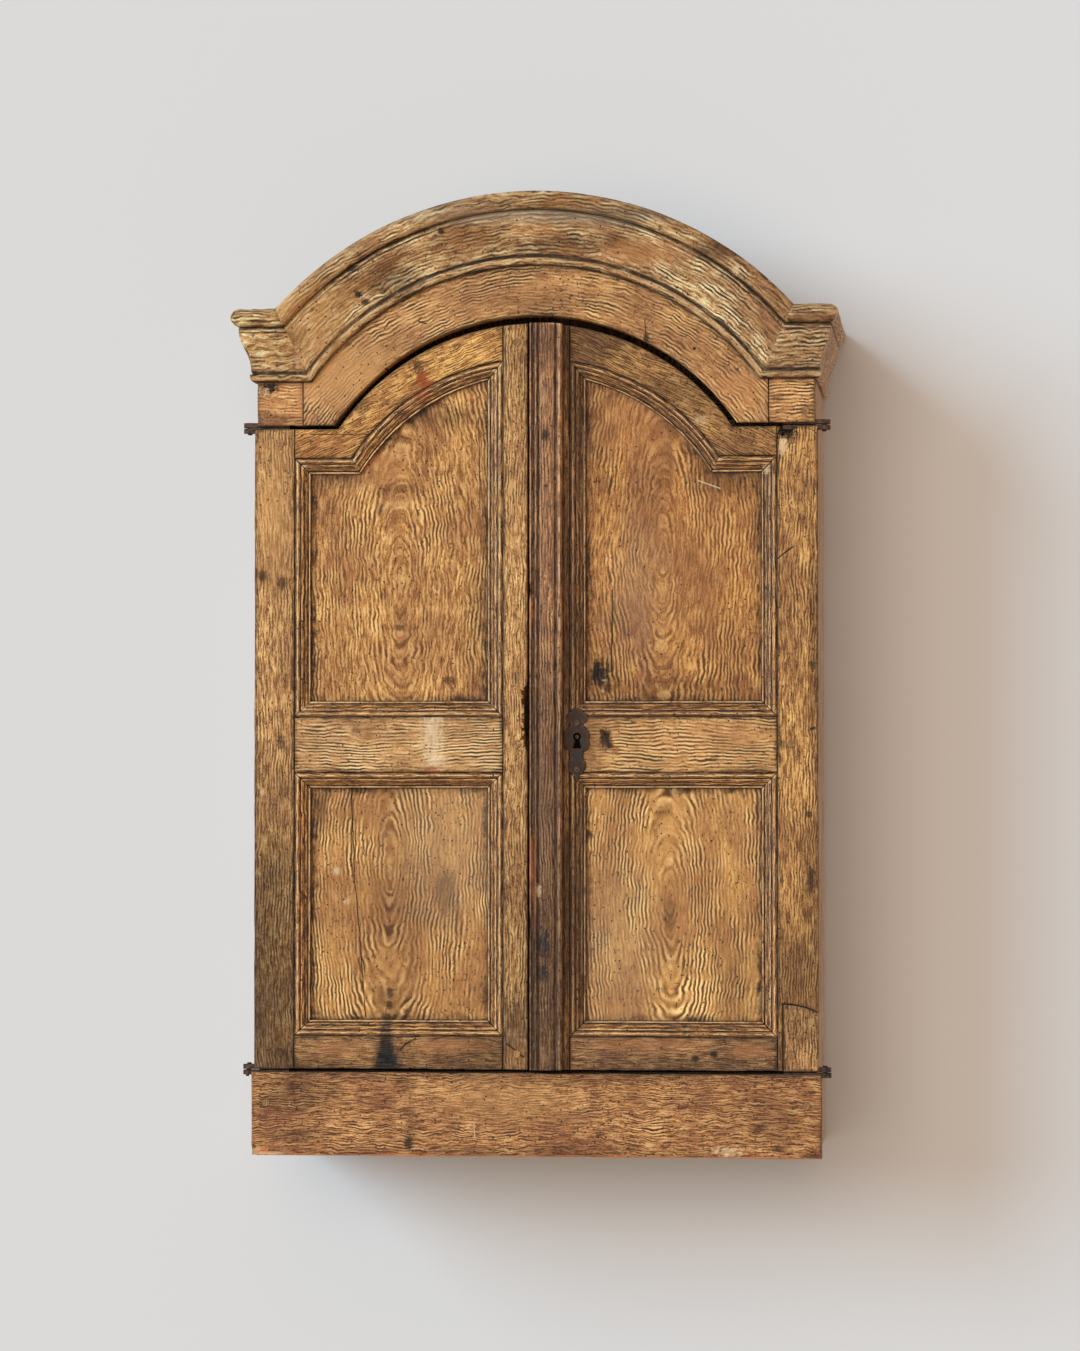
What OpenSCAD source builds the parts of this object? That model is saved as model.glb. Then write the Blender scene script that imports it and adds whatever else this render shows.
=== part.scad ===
// Arched oak wall cabinet with two panelled doors, iron pivot hinges and a lock.
// Millimetres. X runs to the viewer's right, Y into the wall, Z up.
// Heights below are counted from the underside of the cabinet. The finished cabinet is then
// lowered, so that the origin lies on the wall, midway between its two hanging holes.

/* [Case] */
// Outer width of the case, across its side boards
case_w = 606; // [580:2:640]
// Depth of the case, from the wall to the back of the doors
case_d = 250; // [200:5:320]
// Thickness of the side boards
side_t = 20; // [16:1:24]
// Thickness of the bottom board
bottom_t = 20; // [14:1:26]
// How far the bottom board is let into each side board
housing = 6; // [3:1:9]
// Thickness of the back boards
back_t = 14; // [10:1:18]
// Number of upright back boards
back_count = 4; // [2:1:5]
// Gap between neighbouring back boards, and between neighbouring roof staves
board_gap = 0.4; // [0.1:0.1:1]
// Play around a piece of wood let into another
wood_play = 0.2; // [0.1:0.05:0.4]

/* [Shelves] */
// Thickness of the shelves
shelf_t = 18; // [12:1:24]
// Height of the underside of the lower shelf
lower_shelf_z = 345; // [320:5:390]
// Height of the underside of the upper shelf
upper_shelf_z = 585; // [540:5:620]
// Gap between a shelf's front edge and the back of the doors
shelf_gap = 5; // [3:1:15]
// Width of the cleats under the shelves
cleat_w = 18; // [12:1:24]
// Height of the cleats under the shelves
cleat_h = 25; // [18:1:35]

/* [Hanging rail] */
// Distance of the hanging holes below the top of the cornice's shoulders
hang_down = 108; // [90:1:125]
// Distance between the two hanging holes
hang_spacing = 400; // [390:5:420]
// Radius of the hanging holes
hang_hole_r = 4.5; // [3:0.5:6]
// Height of the hanging rail
rail_h = 60; // [40:2:80]
// Thickness of the hanging rail
rail_t = 20; // [14:1:26]

/* [Front boards] */
// Thickness of the apron, the frieze and the door frames, which are flush
front_t = 22; // [20:0.5:28]
// Height of the apron
apron_h = 91; // [80:1:110]
// How far the apron stands past the case at each side
apron_over = 6.5; // [4:0.5:7]
// Height of the frieze that shows under the cornice at each side
frieze_show = 47; // [40:1:60]
// Width of the upright block at each end of the frieze
frieze_block_w = 50; // [44:1:60]
// Distance from the case's side to the start of the arch under the frieze
arch_in = 84.5; // [73:0.5:98]
// Rise of the arch under the frieze
arch_rise = 117.5; // [100:0.5:125]

/* [Cornice] */
// Height of the cornice moulding
cornice_h = 79.5; // [74:0.5:84]
// Projection of the cornice in front of the frieze
cornice_out = 26; // [22:1:34]
// Distance from the case's side to the start of the arch, along the top of the cornice
shoulder_l = 22; // [19:0.5:27]
// Rise of the arch, along the top of the cornice
cornice_rise = 125; // [118:0.5:132]
// Thickness of the round nose along the cornice's top
nose_d = 21; // [16:1:26]
// Height of the fillet under the nose
fillet_h = 5; // [3:0.5:8]
// Projection of that fillet
fillet_out = 18; // [14:0.5:21]
// Projection of the foot of the ogee
neck_out = 6; // [4:0.5:9]
// Height of the bead along the cornice's bottom
base_h = 11; // [8:0.5:15]
// Projection of that bead
base_out = 7.5; // [5:0.5:10]

/* [Roof] */
// Thickness of the roof staves
roof_t = 12; // [9:1:16]
// How far the cornice stands above the roof
roof_lip = 4.8; // [3:0.2:8]
// Number of roof staves
stave_count = 9; // [7:1:13]
// Thickness of the flat boards over the two shoulders
ear_board_t = 12; // [9:1:16]

/* [Doors] */
// Height of a door along its hinge side
door_h = 694; // [680:1:715]
// How far each door stands past the case at its hinge side
door_over = 3; // [0:0.5:4]
// Gap between the apron and the doors
foot_gap = 3; // [2:0.5:5]
// Gap between the doors and the frieze's level ends
head_gap = 3.5; // [2.5:0.5:5]
// Gap between the doors and the frieze at the start of the arch, measured sideways
arch_side_gap = 4; // [2:0.5:7]
// Gap between the doors and the frieze at the arch's crown
arch_crown_gap = 8; // [3:0.5:11]
// Distance from the middle of the cabinet to the left door's free edge
meeting_x = 7.5; // [5:0.5:9]
// Gap between the two doors
meeting_gap = 2.5; // [2:0.25:4]
// Width of the hanging stiles
hang_stile_w = 44; // [40:1:52]
// Width of the left door's meeting stile
left_stile_w = 27; // [26:0.5:34]
// Width of the right door's meeting stile
right_stile_w = 43; // [42:0.5:46]
// Width of the top rails at their level end
top_rail_w = 32; // [30:1:38]
// Width of the top rails at the arch's crown
crown_rail_w = 38; // [34:1:44]
// How much nearer to the middle the panel's arch starts than the door's
arch_step = 14.7; // [11:0.5:18]
// Height from a door's bottom to its middle rail
mid_rail_up = 321; // [312:1:328]
// Width of the middle rails
mid_rail_w = 60; // [56:1:70]
// Width of the bottom rails
foot_rail_w = 36; // [34:1:50]

/* [Panels and mouldings] */
// Thickness of the panels
panel_t = 9; // [7:0.5:11]
// Depth of the panels below the face of the frame
panel_sink = 8.5; // [7.5:0.5:9]
// How far the panels run into the grooves of the frame
tongue = 8; // [5:0.5:8]
// Play at the bottom of the grooves
groove_play = 0.5; // [0.2:0.1:0.6]
// Width of the mouldings around the panels
moulding_w = 17; // [15:0.5:20]
// Width of the bead along a moulding's outer edge
bead_w = 5; // [4:0.5:6]
// Width of the small bead along a moulding's inner edge
inner_bead_w = 2.6; // [2:0.2:3.4]
// Gap of the open mitres
mitre_gap = 0.3; // [0.2:0.1:0.6]
// Length of the tenons in the hanging stiles
hang_tenon = 34; // [28:1:38]
// Length of the tenons in the meeting stiles
meet_tenon = 20; // [20:0.5:22]
// Wood left between a tenon and the outer edge of its rail
tenon_shoulder = 8; // [7:0.5:9]

/* [Cover strip] */
// Width of the strip on the right door's free edge
strip_w = 36; // [33:0.5:36.5]
// Thickness of that strip
strip_t = 13; // [10:0.5:16]
// Width of each of the two small ridges along the strip's free edge
strip_ridge = 3; // [2:0.2:3.4]
// Width of the bead along the strip's other edge
strip_bead = 6.5; // [5:0.5:8]
// Depth of the grooves beside the ridges and the bead
strip_sink = 2.4; // [1:0.2:4]

/* [Pivot hinges] */
// Distance from a door's edge to its pivot
pivot_out = 6.5; // [5.5:0.5:8]
// Width of the hinge leaves
leaf_w = 14; // [12:0.5:16]
// Thickness of the hinge leaves
leaf_t = 5.5; // [4.5:0.5:6]
// Length of a hinge leaf let into the wood of the door
leaf_in = 38; // [32:1:42]
// Gap between the two leaves of a hinge
leaf_gap = 0.6; // [0.4:0.1:1]
// Radius of the hinge pins
pin_r = 2.5; // [2:0.25:3]
// Running play of a pin in the door's leaf
pin_play = 0.05; // [0.02:0.01:0.1]
// How far a pin stands out past the door's leaf
pin_tip = 1.5; // [0.5:0.5:2]

/* [Pegs and nails] */
// Radius of the wooden pegs
peg_r = 4; // [3:0.25:4]
// How far the visible pegs stand proud
peg_proud = 0.6; // [0.2:0.1:1]
// Distance of the pegs from a stile's inner edge
peg_in = 15; // [14:0.5:15.5]
// Length of the pegs that hold the apron and frieze, inside the side boards
side_peg_l = 30; // [20:1:40]
// Height of the apron's pegs
apron_peg_z = 57; // [40:1:65]
// Height of the frieze's pegs above its lower edge
frieze_peg_up = 13; // [11:1:24]
// Radius of the nails' shanks
nail_r = 1.5; // [1:0.1:1.6]
// Depth below the apron's top edge at which a nail stands out of the left side board
side_nail_drop = 3; // [3:1:20]

/* [Lock] */
// Distance of the keyhole from the middle of the cabinet
key_x = 45.8; // [45:0.2:48]
// Height of the keyhole's round end above the middle rail's lower edge
key_up = 38.5; // [36:0.5:41]
// Radius of the keyhole's round end
key_r = 4.2; // [3.4:0.1:4.4]
// Depth of the keyhole's slot below its round end
key_slot = 12.5; // [10:0.5:14]
// Thickness of the iron key plate on the door's face
escutcheon_t = 1.8; // [1:0.1:3]
// Width of the lock
lock_w = 75; // [72:1:85]
// Height of the lock
lock_h = 68; // [66:1:76]
// Depth of the lock behind the door
lock_d = 18; // [15:1:22]
// Thickness of the lock's plates
lock_t = 1.5; // [1:0.1:2]
// Distance from the right door's free edge to the lock
lock_in = 2; // [1:0.5:3]
// Height of the lock's bolt
bolt_h = 12; // [8:0.5:13]
// Thickness of the lock's bolt
bolt_t = 7; // [5:0.5:8]
// Travel of the lock's bolt
bolt_throw = 10; // [8:0.5:10]
// Play around a sliding bolt
bolt_play = 0.4; // [0.3:0.1:0.6]

/* [Slide bolt] */
// Distance of the slide bolt from the middle of the cabinet
slide_x = 20; // [19.5:0.5:20.5]
// Width of the slide bolt's plate
slide_plate_w = 22; // [21:0.5:24]
// Width of the slide bolt
slide_w = 12; // [9:0.5:13]
// Thickness of the slide bolt
slide_t = 5; // [4:0.5:7]
// Length of the slide bolt
slide_l = 140; // [130:1:160]
// Travel of the slide bolt
slide_throw = 24; // [20:1:26]
// Gap between the slide bolt's tip and the door's top edge
slide_below = 1.5; // [1:0.5:4]

/* [Hidden] */

$fn = 64;
OAK = [0.68, 0.50, 0.30];
DARK_OAK = [0.52, 0.38, 0.24];
RED_OAK = [0.70, 0.48, 0.30];
PALE_WOOD = [0.74, 0.66, 0.54];
IRON = [0.30, 0.24, 0.22];

// An arc's radius from half its chord and its rise
function arc_r(half, rise) = (half * half + rise * rise) / (2 * rise);
// Height of an arc about a centre height at a distance from the middle
function arc_z(r, centre, x) = centre + sqrt(r * r - x * x);
// Distance from the middle at which an arc passes a height
function arc_x(r, centre, z) = sqrt(r * r - (z - centre) * (z - centre));
// Points along a circle
function round_points(cx, cy, r, from, to, steps) =
    [for (i = [0:steps]) [cx + r * cos(from + (to - from) * i / steps),
                          cy + r * sin(from + (to - from) * i / steps)]];

// Case and front faces
case_x = case_w / 2;
inner_x = case_x - side_t;
back_y = -case_d;
front_y = back_y - front_t;
door_z = apron_h + foot_gap;
door_ear_z = door_z + door_h;
frieze_z = door_ear_z + head_gap;
arch_half_w = case_x - arch_in;
frieze_r = arc_r(arch_half_w, arch_rise);
frieze_c = frieze_z + arch_rise - frieze_r;
block_x = case_x - frieze_block_w;

// Cornice and roof arcs share one centre
cornice_z = frieze_z + frieze_show;
ear_z = cornice_z + cornice_h;
hang_z = ear_z - hang_down;
crown_z = ear_z + cornice_rise;
cornice_half_w = case_x - shoulder_l;
cornice_r = arc_r(cornice_half_w, cornice_rise);
cornice_c = crown_z - cornice_r;
mitre_x = arc_x(cornice_r - cornice_h, cornice_c, cornice_z);
roof_r = cornice_r - roof_lip;
rib_r = roof_r - roof_t;
board_top = ear_z - ear_board_t;

// Door edges, openings and arcs, all for a door on the right of the middle
door_x = case_x + door_over;
hang_x = door_x - hang_stile_w;
left_edge = meeting_x;
right_edge = meeting_gap - meeting_x;
left_meet = left_edge + left_stile_w;
right_meet = right_edge + right_stile_w;
door_half_w = arch_half_w - arch_side_gap;
door_rise = frieze_z + arch_rise - arch_crown_gap - door_ear_z;
door_r = arc_r(door_half_w, door_rise);
door_c = door_ear_z + door_rise - door_r;
panel_ear_z = door_ear_z - top_rail_w;
panel_rise = door_ear_z + door_rise - crown_rail_w - panel_ear_z;
panel_half_w = door_half_w - arch_step;
panel_r = arc_r(panel_half_w, panel_rise);
panel_c = panel_ear_z + panel_rise - panel_r;
mid_z = door_z + mid_rail_up;
upper_z = mid_z + mid_rail_w;
lower_z = door_z + foot_rail_w;
panel_y = front_y + panel_sink;
tenon_gap = tongue + groove_play + 0.5;

// Hinges: the gap between the leaves is centred in the gap between wood and wood
pivot_x = door_x + pivot_out;
pivot_y = (back_y + front_y) / 2;
leaf_reach = pivot_out + leaf_in;
top_gap_z = (door_ear_z + frieze_z) / 2;
foot_gap_z = (apron_h + door_z) / 2;
top_door_leaf = top_gap_z - leaf_gap / 2 - leaf_t;
top_case_leaf = top_gap_z + leaf_gap / 2;
foot_case_leaf = foot_gap_z - leaf_gap / 2 - leaf_t;
foot_door_leaf = foot_gap_z + leaf_gap / 2;
driven_play = 0.02;

// Pegs and nails
side_peg_x = case_x - side_t / 2;
frieze_peg_z = frieze_z + frieze_peg_up;
nail_head_r = 4.5;
nail_head_t = 2.5;
nail_out = 14;
nail_in = 12;
side_nail_y = back_y + 10;
side_nail_z = apron_h - side_nail_drop;
bent_x = 72;
bent_up = 45;
bent_drop = 20;
bent_turn = 150;
bent_out = 4;
bent_in = 6;

// Lock
key_z = mid_z + key_up;
lock_x = right_edge + lock_in;
lock_z = key_z - lock_h / 2 - 3.5;
lock_back = back_y + lock_d;
bolt_z = key_z + key_r + 4;
bolt_front = back_y + lock_t + 2.5;
bolt_l = 61;
stump_r = 2;
stump_x = lock_x + 33;
talon_w = 8;
talon_h = 3;
spring_t = 1;
spring_l = 40;
key_pin_r = 2.2;
key_pin_back = 2;
plate_nail_up = 15.2;
plate_nail_down = 35.5;
plate_nail_l = 7.5;
keeper_w = 6;
keeper_wall = 3.4;
keeper_x = left_edge + 1;

// Slide bolt
slide_tip = arc_z(door_r, door_c, slide_x + slide_w / 2) - slide_below;
slide_foot = slide_tip - slide_l;
slide_front = back_y + lock_t + bolt_play;
staple_h = 8;
staple_wall = 3;
upper_staple_z = slide_tip - 30;
lower_staple_z = slide_foot + slide_throw + 2;
knob_r = 5;
knob_l = 10;
knob_z = lower_staple_z + staple_h + knob_r + 10;

// A piece in its place on the wall
module hung() {
    translate([0, 0, -hang_z]) children();
}

// The same piece at the right and at the left
module both_sides() {
    children();
    mirror([1, 0, 0]) children();
}

// A flat outline, drawn in X and Z, as a board between two depths
module board(from_y, to_y) {
    translate([0, to_y, 0]) rotate([90, 0, 0]) linear_extrude(to_y - from_y) children();
}

// A section of distance and depth, turned about the arch's axis
module turned(centre) {
    translate([0, 0, centre]) rotate([90, 0, 0]) rotate_extrude(angle = 180, $fn = 180)
        children();
}

// A section of depth and height, run along X
module run_along(from_x, to_x) {
    translate([from_x, 0, 0]) rotate([90, 0, 90]) linear_extrude(to_x - from_x) children();
}

// A round bar that points out of the front
module front_bar(x, z, r, from_y, to_y) {
    translate([x, to_y, z]) rotate([90, 0, 0]) cylinder(r = r, h = to_y - from_y);
}

// CASE
// Outline of a board that reaches up to the roof
module roof_outline(half, from_z) {
    intersection() {
        translate([-half, from_z]) square([2 * half, crown_z]);
        union() {
            translate([0, cornice_c]) circle(r = rib_r, $fn = 180);
            translate([-half, from_z]) square([2 * half, board_top - from_z]);
        }
    }
}

module bottom_shape(play) {
    translate([-inner_x - housing - play, back_y - play, apron_h - bottom_t - play])
        cube([2 * (inner_x + housing + play), case_d - back_t + 2 * play, bottom_t + 2 * play]);
}

// Pegs that hold the apron and the frieze to the side boards
module side_pegs(r, proud) {
    for (z = [apron_peg_z, frieze_peg_z])
        front_bar(side_peg_x, z, r, front_y - proud, back_y + side_peg_l);
}

module side_board() {
    difference() {
        translate([inner_x, back_y, 0]) cube([side_t, case_d, board_top]);
        bottom_shape(wood_play);
        side_pegs(peg_r + driven_play, 0);
    }
}

module left_side_board() {
    hung() color(PALE_WOOD) difference() {
        mirror([1, 0, 0]) side_board();
        side_nail_shank(driven_play);
    }
}

module right_side_board() {
    hung() color(PALE_WOOD) side_board();
}

module bottom_board() {
    hung() color(PALE_WOOD) bottom_shape(0);
}

module hanging_holes() {
    for (side = [-1, 1])
        front_bar(side * hang_spacing / 2, hang_z, hang_hole_r, -back_t - rail_t - 1, 1);
}

module back_boards() {
    board_w = 2 * inner_x / back_count;
    hung() color(PALE_WOOD) difference() {
        for (i = [0:back_count - 1])
            board(-back_t, 0) intersection() {
                roof_outline(inner_x, 0);
                translate([-inner_x + i * board_w + board_gap / 2, 0])
                    square([board_w - board_gap, crown_z]);
            }
        hanging_holes();
    }
}

module hanging_rail() {
    hung() color(PALE_WOOD) difference() {
        translate([-inner_x, -back_t - rail_t, hang_z - rail_h / 2])
            cube([2 * inner_x, rail_t, rail_h]);
        hanging_holes();
    }
}

module shelf(z) {
    translate([-inner_x, back_y + shelf_gap, z])
        cube([2 * inner_x, case_d - shelf_gap - back_t, shelf_t]);
}

module lower_shelf() {
    hung() color(PALE_WOOD) shelf(lower_shelf_z);
}

module upper_shelf() {
    hung() color(PALE_WOOD) shelf(upper_shelf_z);
}

module shelf_cleats() {
    hung() color(PALE_WOOD) both_sides() for (z = [lower_shelf_z, upper_shelf_z])
        translate([inner_x - cleat_w, back_y + shelf_gap, z - cleat_h])
            cube([cleat_w, case_d - shelf_gap - back_t, cleat_h]);
}

// APRON AND FRIEZE
module apron_board() {
    hung() color(RED_OAK) difference() {
        translate([-case_x - apron_over, front_y, 0])
            cube([2 * (case_x + apron_over), front_t, apron_h]);
        both_sides() leaf_seat(foot_case_leaf, foot_case_leaf + 2 * leaf_t);
        both_sides() side_pegs(peg_r + driven_play, peg_proud);
    }
}

module frieze_board() {
    difference() {
        board(front_y, back_y) difference() {
            roof_outline(case_x, frieze_z);
            translate([0, frieze_c]) circle(r = frieze_r, $fn = 180);
        }
        both_sides() leaf_seat(top_case_leaf - leaf_t, top_case_leaf + leaf_t);
        both_sides() side_pegs(peg_r + driven_play, peg_proud);
    }
}

// The part of the frieze between two distances from the middle
module frieze_part(from_x, to_x) {
    intersection() {
        frieze_board();
        translate([from_x, front_y - 1, 0]) cube([to_x - from_x, front_t + 2, crown_z]);
    }
}

module frieze_arch() {
    hung() color(RED_OAK) frieze_part(-block_x, block_x);
}

module frieze_left_block() {
    hung() color(RED_OAK) frieze_part(-case_x, -block_x);
}

module frieze_right_block() {
    hung() color(RED_OAK) frieze_part(block_x, case_x);
}

module case_pegs() {
    hung() color(DARK_OAK) both_sides() side_pegs(peg_r, peg_proud);
}

// CORNICE
// Section of the cornice as projection and depth below its top
ogee_top = nose_d + fillet_h;
ogee_foot = cornice_h - base_h;
base_quirk = 2;
base_lip = 3;
cornice_section = concat(
    [[0, 0]],
    round_points(cornice_out - nose_d / 2, nose_d / 2, nose_d / 2, -90, 90, 10),
    [[fillet_out, nose_d]],
    [for (i = [0:10]) [neck_out + (fillet_out - neck_out) * pow((1 + cos(18 * i)) / 2, 1.3),
                       ogee_top + (ogee_foot - ogee_top) * i / 10]],
    [[neck_out - 1, ogee_foot], [neck_out - 1, ogee_foot + base_quirk]],
    [for (i = [0:5]) [base_lip + (base_out - base_lip) * cos(18 * i),
                      ogee_foot + base_quirk + (base_h - base_quirk) * sin(18 * i)]],
    [[0, cornice_h]]
);

module cornice_arch() {
    far_z = 2 * crown_z;
    hung() color(OAK) intersection() {
        turned(cornice_c)
            polygon([for (p = cornice_section) [cornice_r - p[1], -front_y + p[0]]]);
        board(front_y - cornice_out - 1, front_y + 1)
            polygon([[-mitre_x, cornice_z], [mitre_x, cornice_z], [cornice_half_w, ear_z],
                     [cornice_half_w, far_z], [-cornice_half_w, far_z], [-cornice_half_w, ear_z]]);
    }
}

// Plan of the corner mitre, for the front piece and for the return
module corner_plan(points) {
    translate([0, 0, cornice_z - 1]) linear_extrude(cornice_h + 2) polygon(points);
}

module cornice_ear() {
    corner = [case_x + cornice_out, front_y - cornice_out];
    intersection() {
        run_along(mitre_x - 1, corner[0])
            polygon([for (p = cornice_section) [front_y - p[0], ear_z - p[1]]]);
        board(corner[1] - 1, front_y + 1)
            polygon([[mitre_x, cornice_z], [corner[0], cornice_z], [corner[0], ear_z],
                     [cornice_half_w, ear_z]]);
        corner_plan([[0, front_y], [case_x, front_y], corner, [0, corner[1]]]);
    }
}

module cornice_return() {
    corner = [case_x + cornice_out, front_y - cornice_out];
    intersection() {
        board(corner[1], 0)
            polygon([for (p = cornice_section) [case_x + p[0], ear_z - p[1]]]);
        corner_plan([[case_x, 0], [corner[0], 0], corner, [case_x, front_y]]);
    }
}

module cornice_left_ear() {
    hung() color(OAK) mirror([1, 0, 0]) cornice_ear();
}

module cornice_right_ear() {
    hung() color(OAK) cornice_ear();
}

module cornice_left_return() {
    hung() color(OAK) mirror([1, 0, 0]) cornice_return();
}

module cornice_right_return() {
    hung() color(OAK) cornice_return();
}

// ROOF
module roof_staves() {
    start = asin((board_top - cornice_c) / roof_r);
    step = (180 - 2 * start) / stave_count;
    gap = board_gap / roof_r * 180 / PI;
    hung() color(PALE_WOOD) for (i = [0:stave_count - 1])
        intersection() {
            translate([0, 0, cornice_c]) rotate([90, 0, 0]) rotate([0, 0, start + i * step])
                rotate_extrude(angle = step - gap, $fn = 180)
                    translate([rib_r, 0]) square([roof_t, -front_y]);
            translate([-case_x, front_y, board_top]) cube([case_w, -front_y, crown_z]);
        }
}

module shoulder_boards() {
    hung() color(PALE_WOOD) both_sides() difference() {
        translate([block_x, front_y, board_top])
            cube([case_x - block_x, -front_y, ear_board_t]);
        translate([0, 1, cornice_c]) rotate([90, 0, 0])
            cylinder(r = roof_r + board_gap, h = 2 - front_y, $fn = 180);
    }
}

// PIVOT HINGES
// A flat iron leaf for the right side, with its eye around the pivot
module hinge_leaf(z, bore) {
    difference() {
        union() {
            translate([pivot_x - leaf_reach, pivot_y - leaf_w / 2, z])
                cube([leaf_reach, leaf_w, leaf_t]);
            translate([pivot_x, pivot_y, z]) cylinder(r = leaf_w / 2, h = leaf_t);
        }
        translate([pivot_x, pivot_y, z - 1]) cylinder(r = bore, h = leaf_t + 2);
    }
}

// Room cut in the wood for a leaf, between two heights
module leaf_seat(from_z, to_z) {
    translate([pivot_x - leaf_reach - wood_play, pivot_y - leaf_w / 2 - wood_play, from_z])
        cube([leaf_reach + leaf_w, leaf_w + 2 * wood_play, to_z - from_z]);
}

module hinge_case_leaves() {
    hung() color(IRON) both_sides() for (z = [top_case_leaf, foot_case_leaf])
        hinge_leaf(z, pin_r + driven_play);
}

module door_leaves() {
    for (z = [top_door_leaf, foot_door_leaf])
        hinge_leaf(z, pin_r + pin_play);
}

module left_hinge_leaves() {
    hung() color(IRON) mirror([1, 0, 0]) door_leaves();
}

module right_hinge_leaves() {
    hung() color(IRON) door_leaves();
}

module hinge_pins() {
    pin_l = 2 * leaf_t + leaf_gap + pin_tip;
    hung() color(IRON) both_sides() for (z = [top_door_leaf - pin_tip, foot_case_leaf])
        translate([pivot_x, pivot_y, z]) cylinder(r = pin_r, h = pin_l);
}

// DOOR FRAMES, all drawn on the right and mirrored for the left door
// Outline of a door whose free edge lies at edge_x
module door_outline(edge_x) {
    intersection() {
        translate([edge_x, door_z]) square([door_x - edge_x, crown_z]);
        union() {
            translate([0, door_c]) circle(r = door_r, $fn = 180);
            translate([edge_x, door_z]) square([door_x - edge_x, door_h]);
        }
    }
}

// Outline of the upper opening, made larger by grow all round
module upper_opening(meet_x, grow) {
    corner = [meet_x - grow, upper_z - grow];
    width = hang_x - meet_x + 2 * grow;
    intersection() {
        translate(corner) square([width, crown_z]);
        union() {
            translate([0, panel_c]) circle(r = panel_r + grow, $fn = 180);
            translate(corner) square([width, panel_ear_z - upper_z + 2 * grow]);
        }
    }
}

module lower_opening(meet_x, grow) {
    translate([meet_x - grow, lower_z - grow])
        square([hang_x - meet_x + 2 * grow, mid_z - lower_z + 2 * grow]);
}

// Both panels, or with play their grooves
module door_panels(meet_x, play) {
    board(panel_y - play, panel_y + panel_t + play) {
        upper_opening(meet_x, tongue + (play > 0 ? groove_play : 0));
        lower_opening(meet_x, tongue + (play > 0 ? groove_play : 0));
    }
}

// A tenon of the panels' thickness, or with play its mortise
module tenon(from_x, to_x, from_z, to_z, play) {
    translate([from_x - play, panel_y - play, from_z - play])
        cube([to_x - from_x + 2 * play, panel_t + 2 * play, to_z - from_z + 2 * play]);
}

function crown_tenon(meet_x) = [
    arc_z(panel_r + tenon_gap, panel_c, meet_x),
    arc_z(door_r, door_c, meet_x) - tenon_shoulder
];
ear_tenon = [panel_ear_z + tenon_gap, door_ear_z - tenon_shoulder];
mid_tenon = [mid_z + tenon_gap, upper_z - tenon_gap];
foot_tenon = [door_z + tenon_shoulder, lower_z - tenon_gap];

// The tenons of one door at its hinge side and at its meeting side
module door_tenons(meet_x, play) {
    for (t = [ear_tenon, mid_tenon, foot_tenon])
        tenon(hang_x, hang_x + hang_tenon, t[0], t[1], play);
    for (t = [crown_tenon(meet_x), mid_tenon, foot_tenon])
        tenon(meet_x - meet_tenon, meet_x, t[0], t[1], play);
}

function middle(pair) = (pair[0] + pair[1]) / 2;

// Pegs through the tenons; those of the meeting stile stand proud only where nothing covers them
module door_pegs(meet_x, r, meet_proud) {
    for (t = [ear_tenon, mid_tenon, foot_tenon])
        front_bar(hang_x + peg_in, middle(t), r, front_y - peg_proud, back_y);
    for (t = [crown_tenon(meet_x), mid_tenon, foot_tenon])
        front_bar(meet_x - peg_in, middle(t), r, front_y - meet_proud, back_y);
}

module hanging_stile(meet_x) {
    difference() {
        translate([hang_x, front_y, door_z]) cube([hang_stile_w, front_t, door_h]);
        door_panels(meet_x, wood_play);
        door_tenons(meet_x, wood_play);
        door_pegs(meet_x, peg_r + driven_play, peg_proud);
        leaf_seat(top_door_leaf, door_ear_z + leaf_t);
        leaf_seat(door_z - leaf_t, foot_door_leaf + leaf_t);
    }
}

module meeting_stile(meet_x, edge_x) {
    difference() {
        board(front_y, back_y) intersection() {
            door_outline(edge_x);
            translate([edge_x, 0]) square([meet_x - edge_x, 2 * crown_z]);
        }
        door_panels(meet_x, wood_play);
        door_tenons(meet_x, wood_play);
        door_pegs(meet_x, peg_r + driven_play, peg_proud);
    }
}

module rail_cuts(meet_x) {
    door_panels(meet_x, wood_play);
    door_pegs(meet_x, peg_r + driven_play, peg_proud);
}

module top_rail(meet_x) {
    crown = crown_tenon(meet_x);
    difference() {
        union() {
            board(front_y, back_y) difference() {
                intersection() {
                    door_outline(meet_x);
                    translate([meet_x, panel_ear_z]) square([hang_x - meet_x, crown_z]);
                }
                translate([0, panel_c]) circle(r = panel_r, $fn = 180);
            }
            tenon(hang_x - 1, hang_x + hang_tenon, ear_tenon[0], ear_tenon[1], 0);
            tenon(meet_x - meet_tenon, meet_x + 1, crown[0], crown[1], 0);
        }
        rail_cuts(meet_x);
    }
}

// A level rail between two heights, with a tenon at each end
module level_rail(meet_x, from_z, to_z, heights) {
    difference() {
        union() {
            translate([meet_x, front_y, from_z]) cube([hang_x - meet_x, front_t, to_z - from_z]);
            tenon(meet_x - meet_tenon, hang_x + hang_tenon, heights[0], heights[1], 0);
        }
        rail_cuts(meet_x);
    }
}

module mid_rail(meet_x) {
    level_rail(meet_x, mid_z, upper_z, mid_tenon);
}

module foot_rail(meet_x) {
    level_rail(meet_x, door_z, lower_z, foot_tenon);
}

module upper_panel(meet_x) {
    board(panel_y, panel_y + panel_t) upper_opening(meet_x, tongue);
}

module lower_panel(meet_x) {
    board(panel_y, panel_y + panel_t) lower_opening(meet_x, tongue);
}

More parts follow.
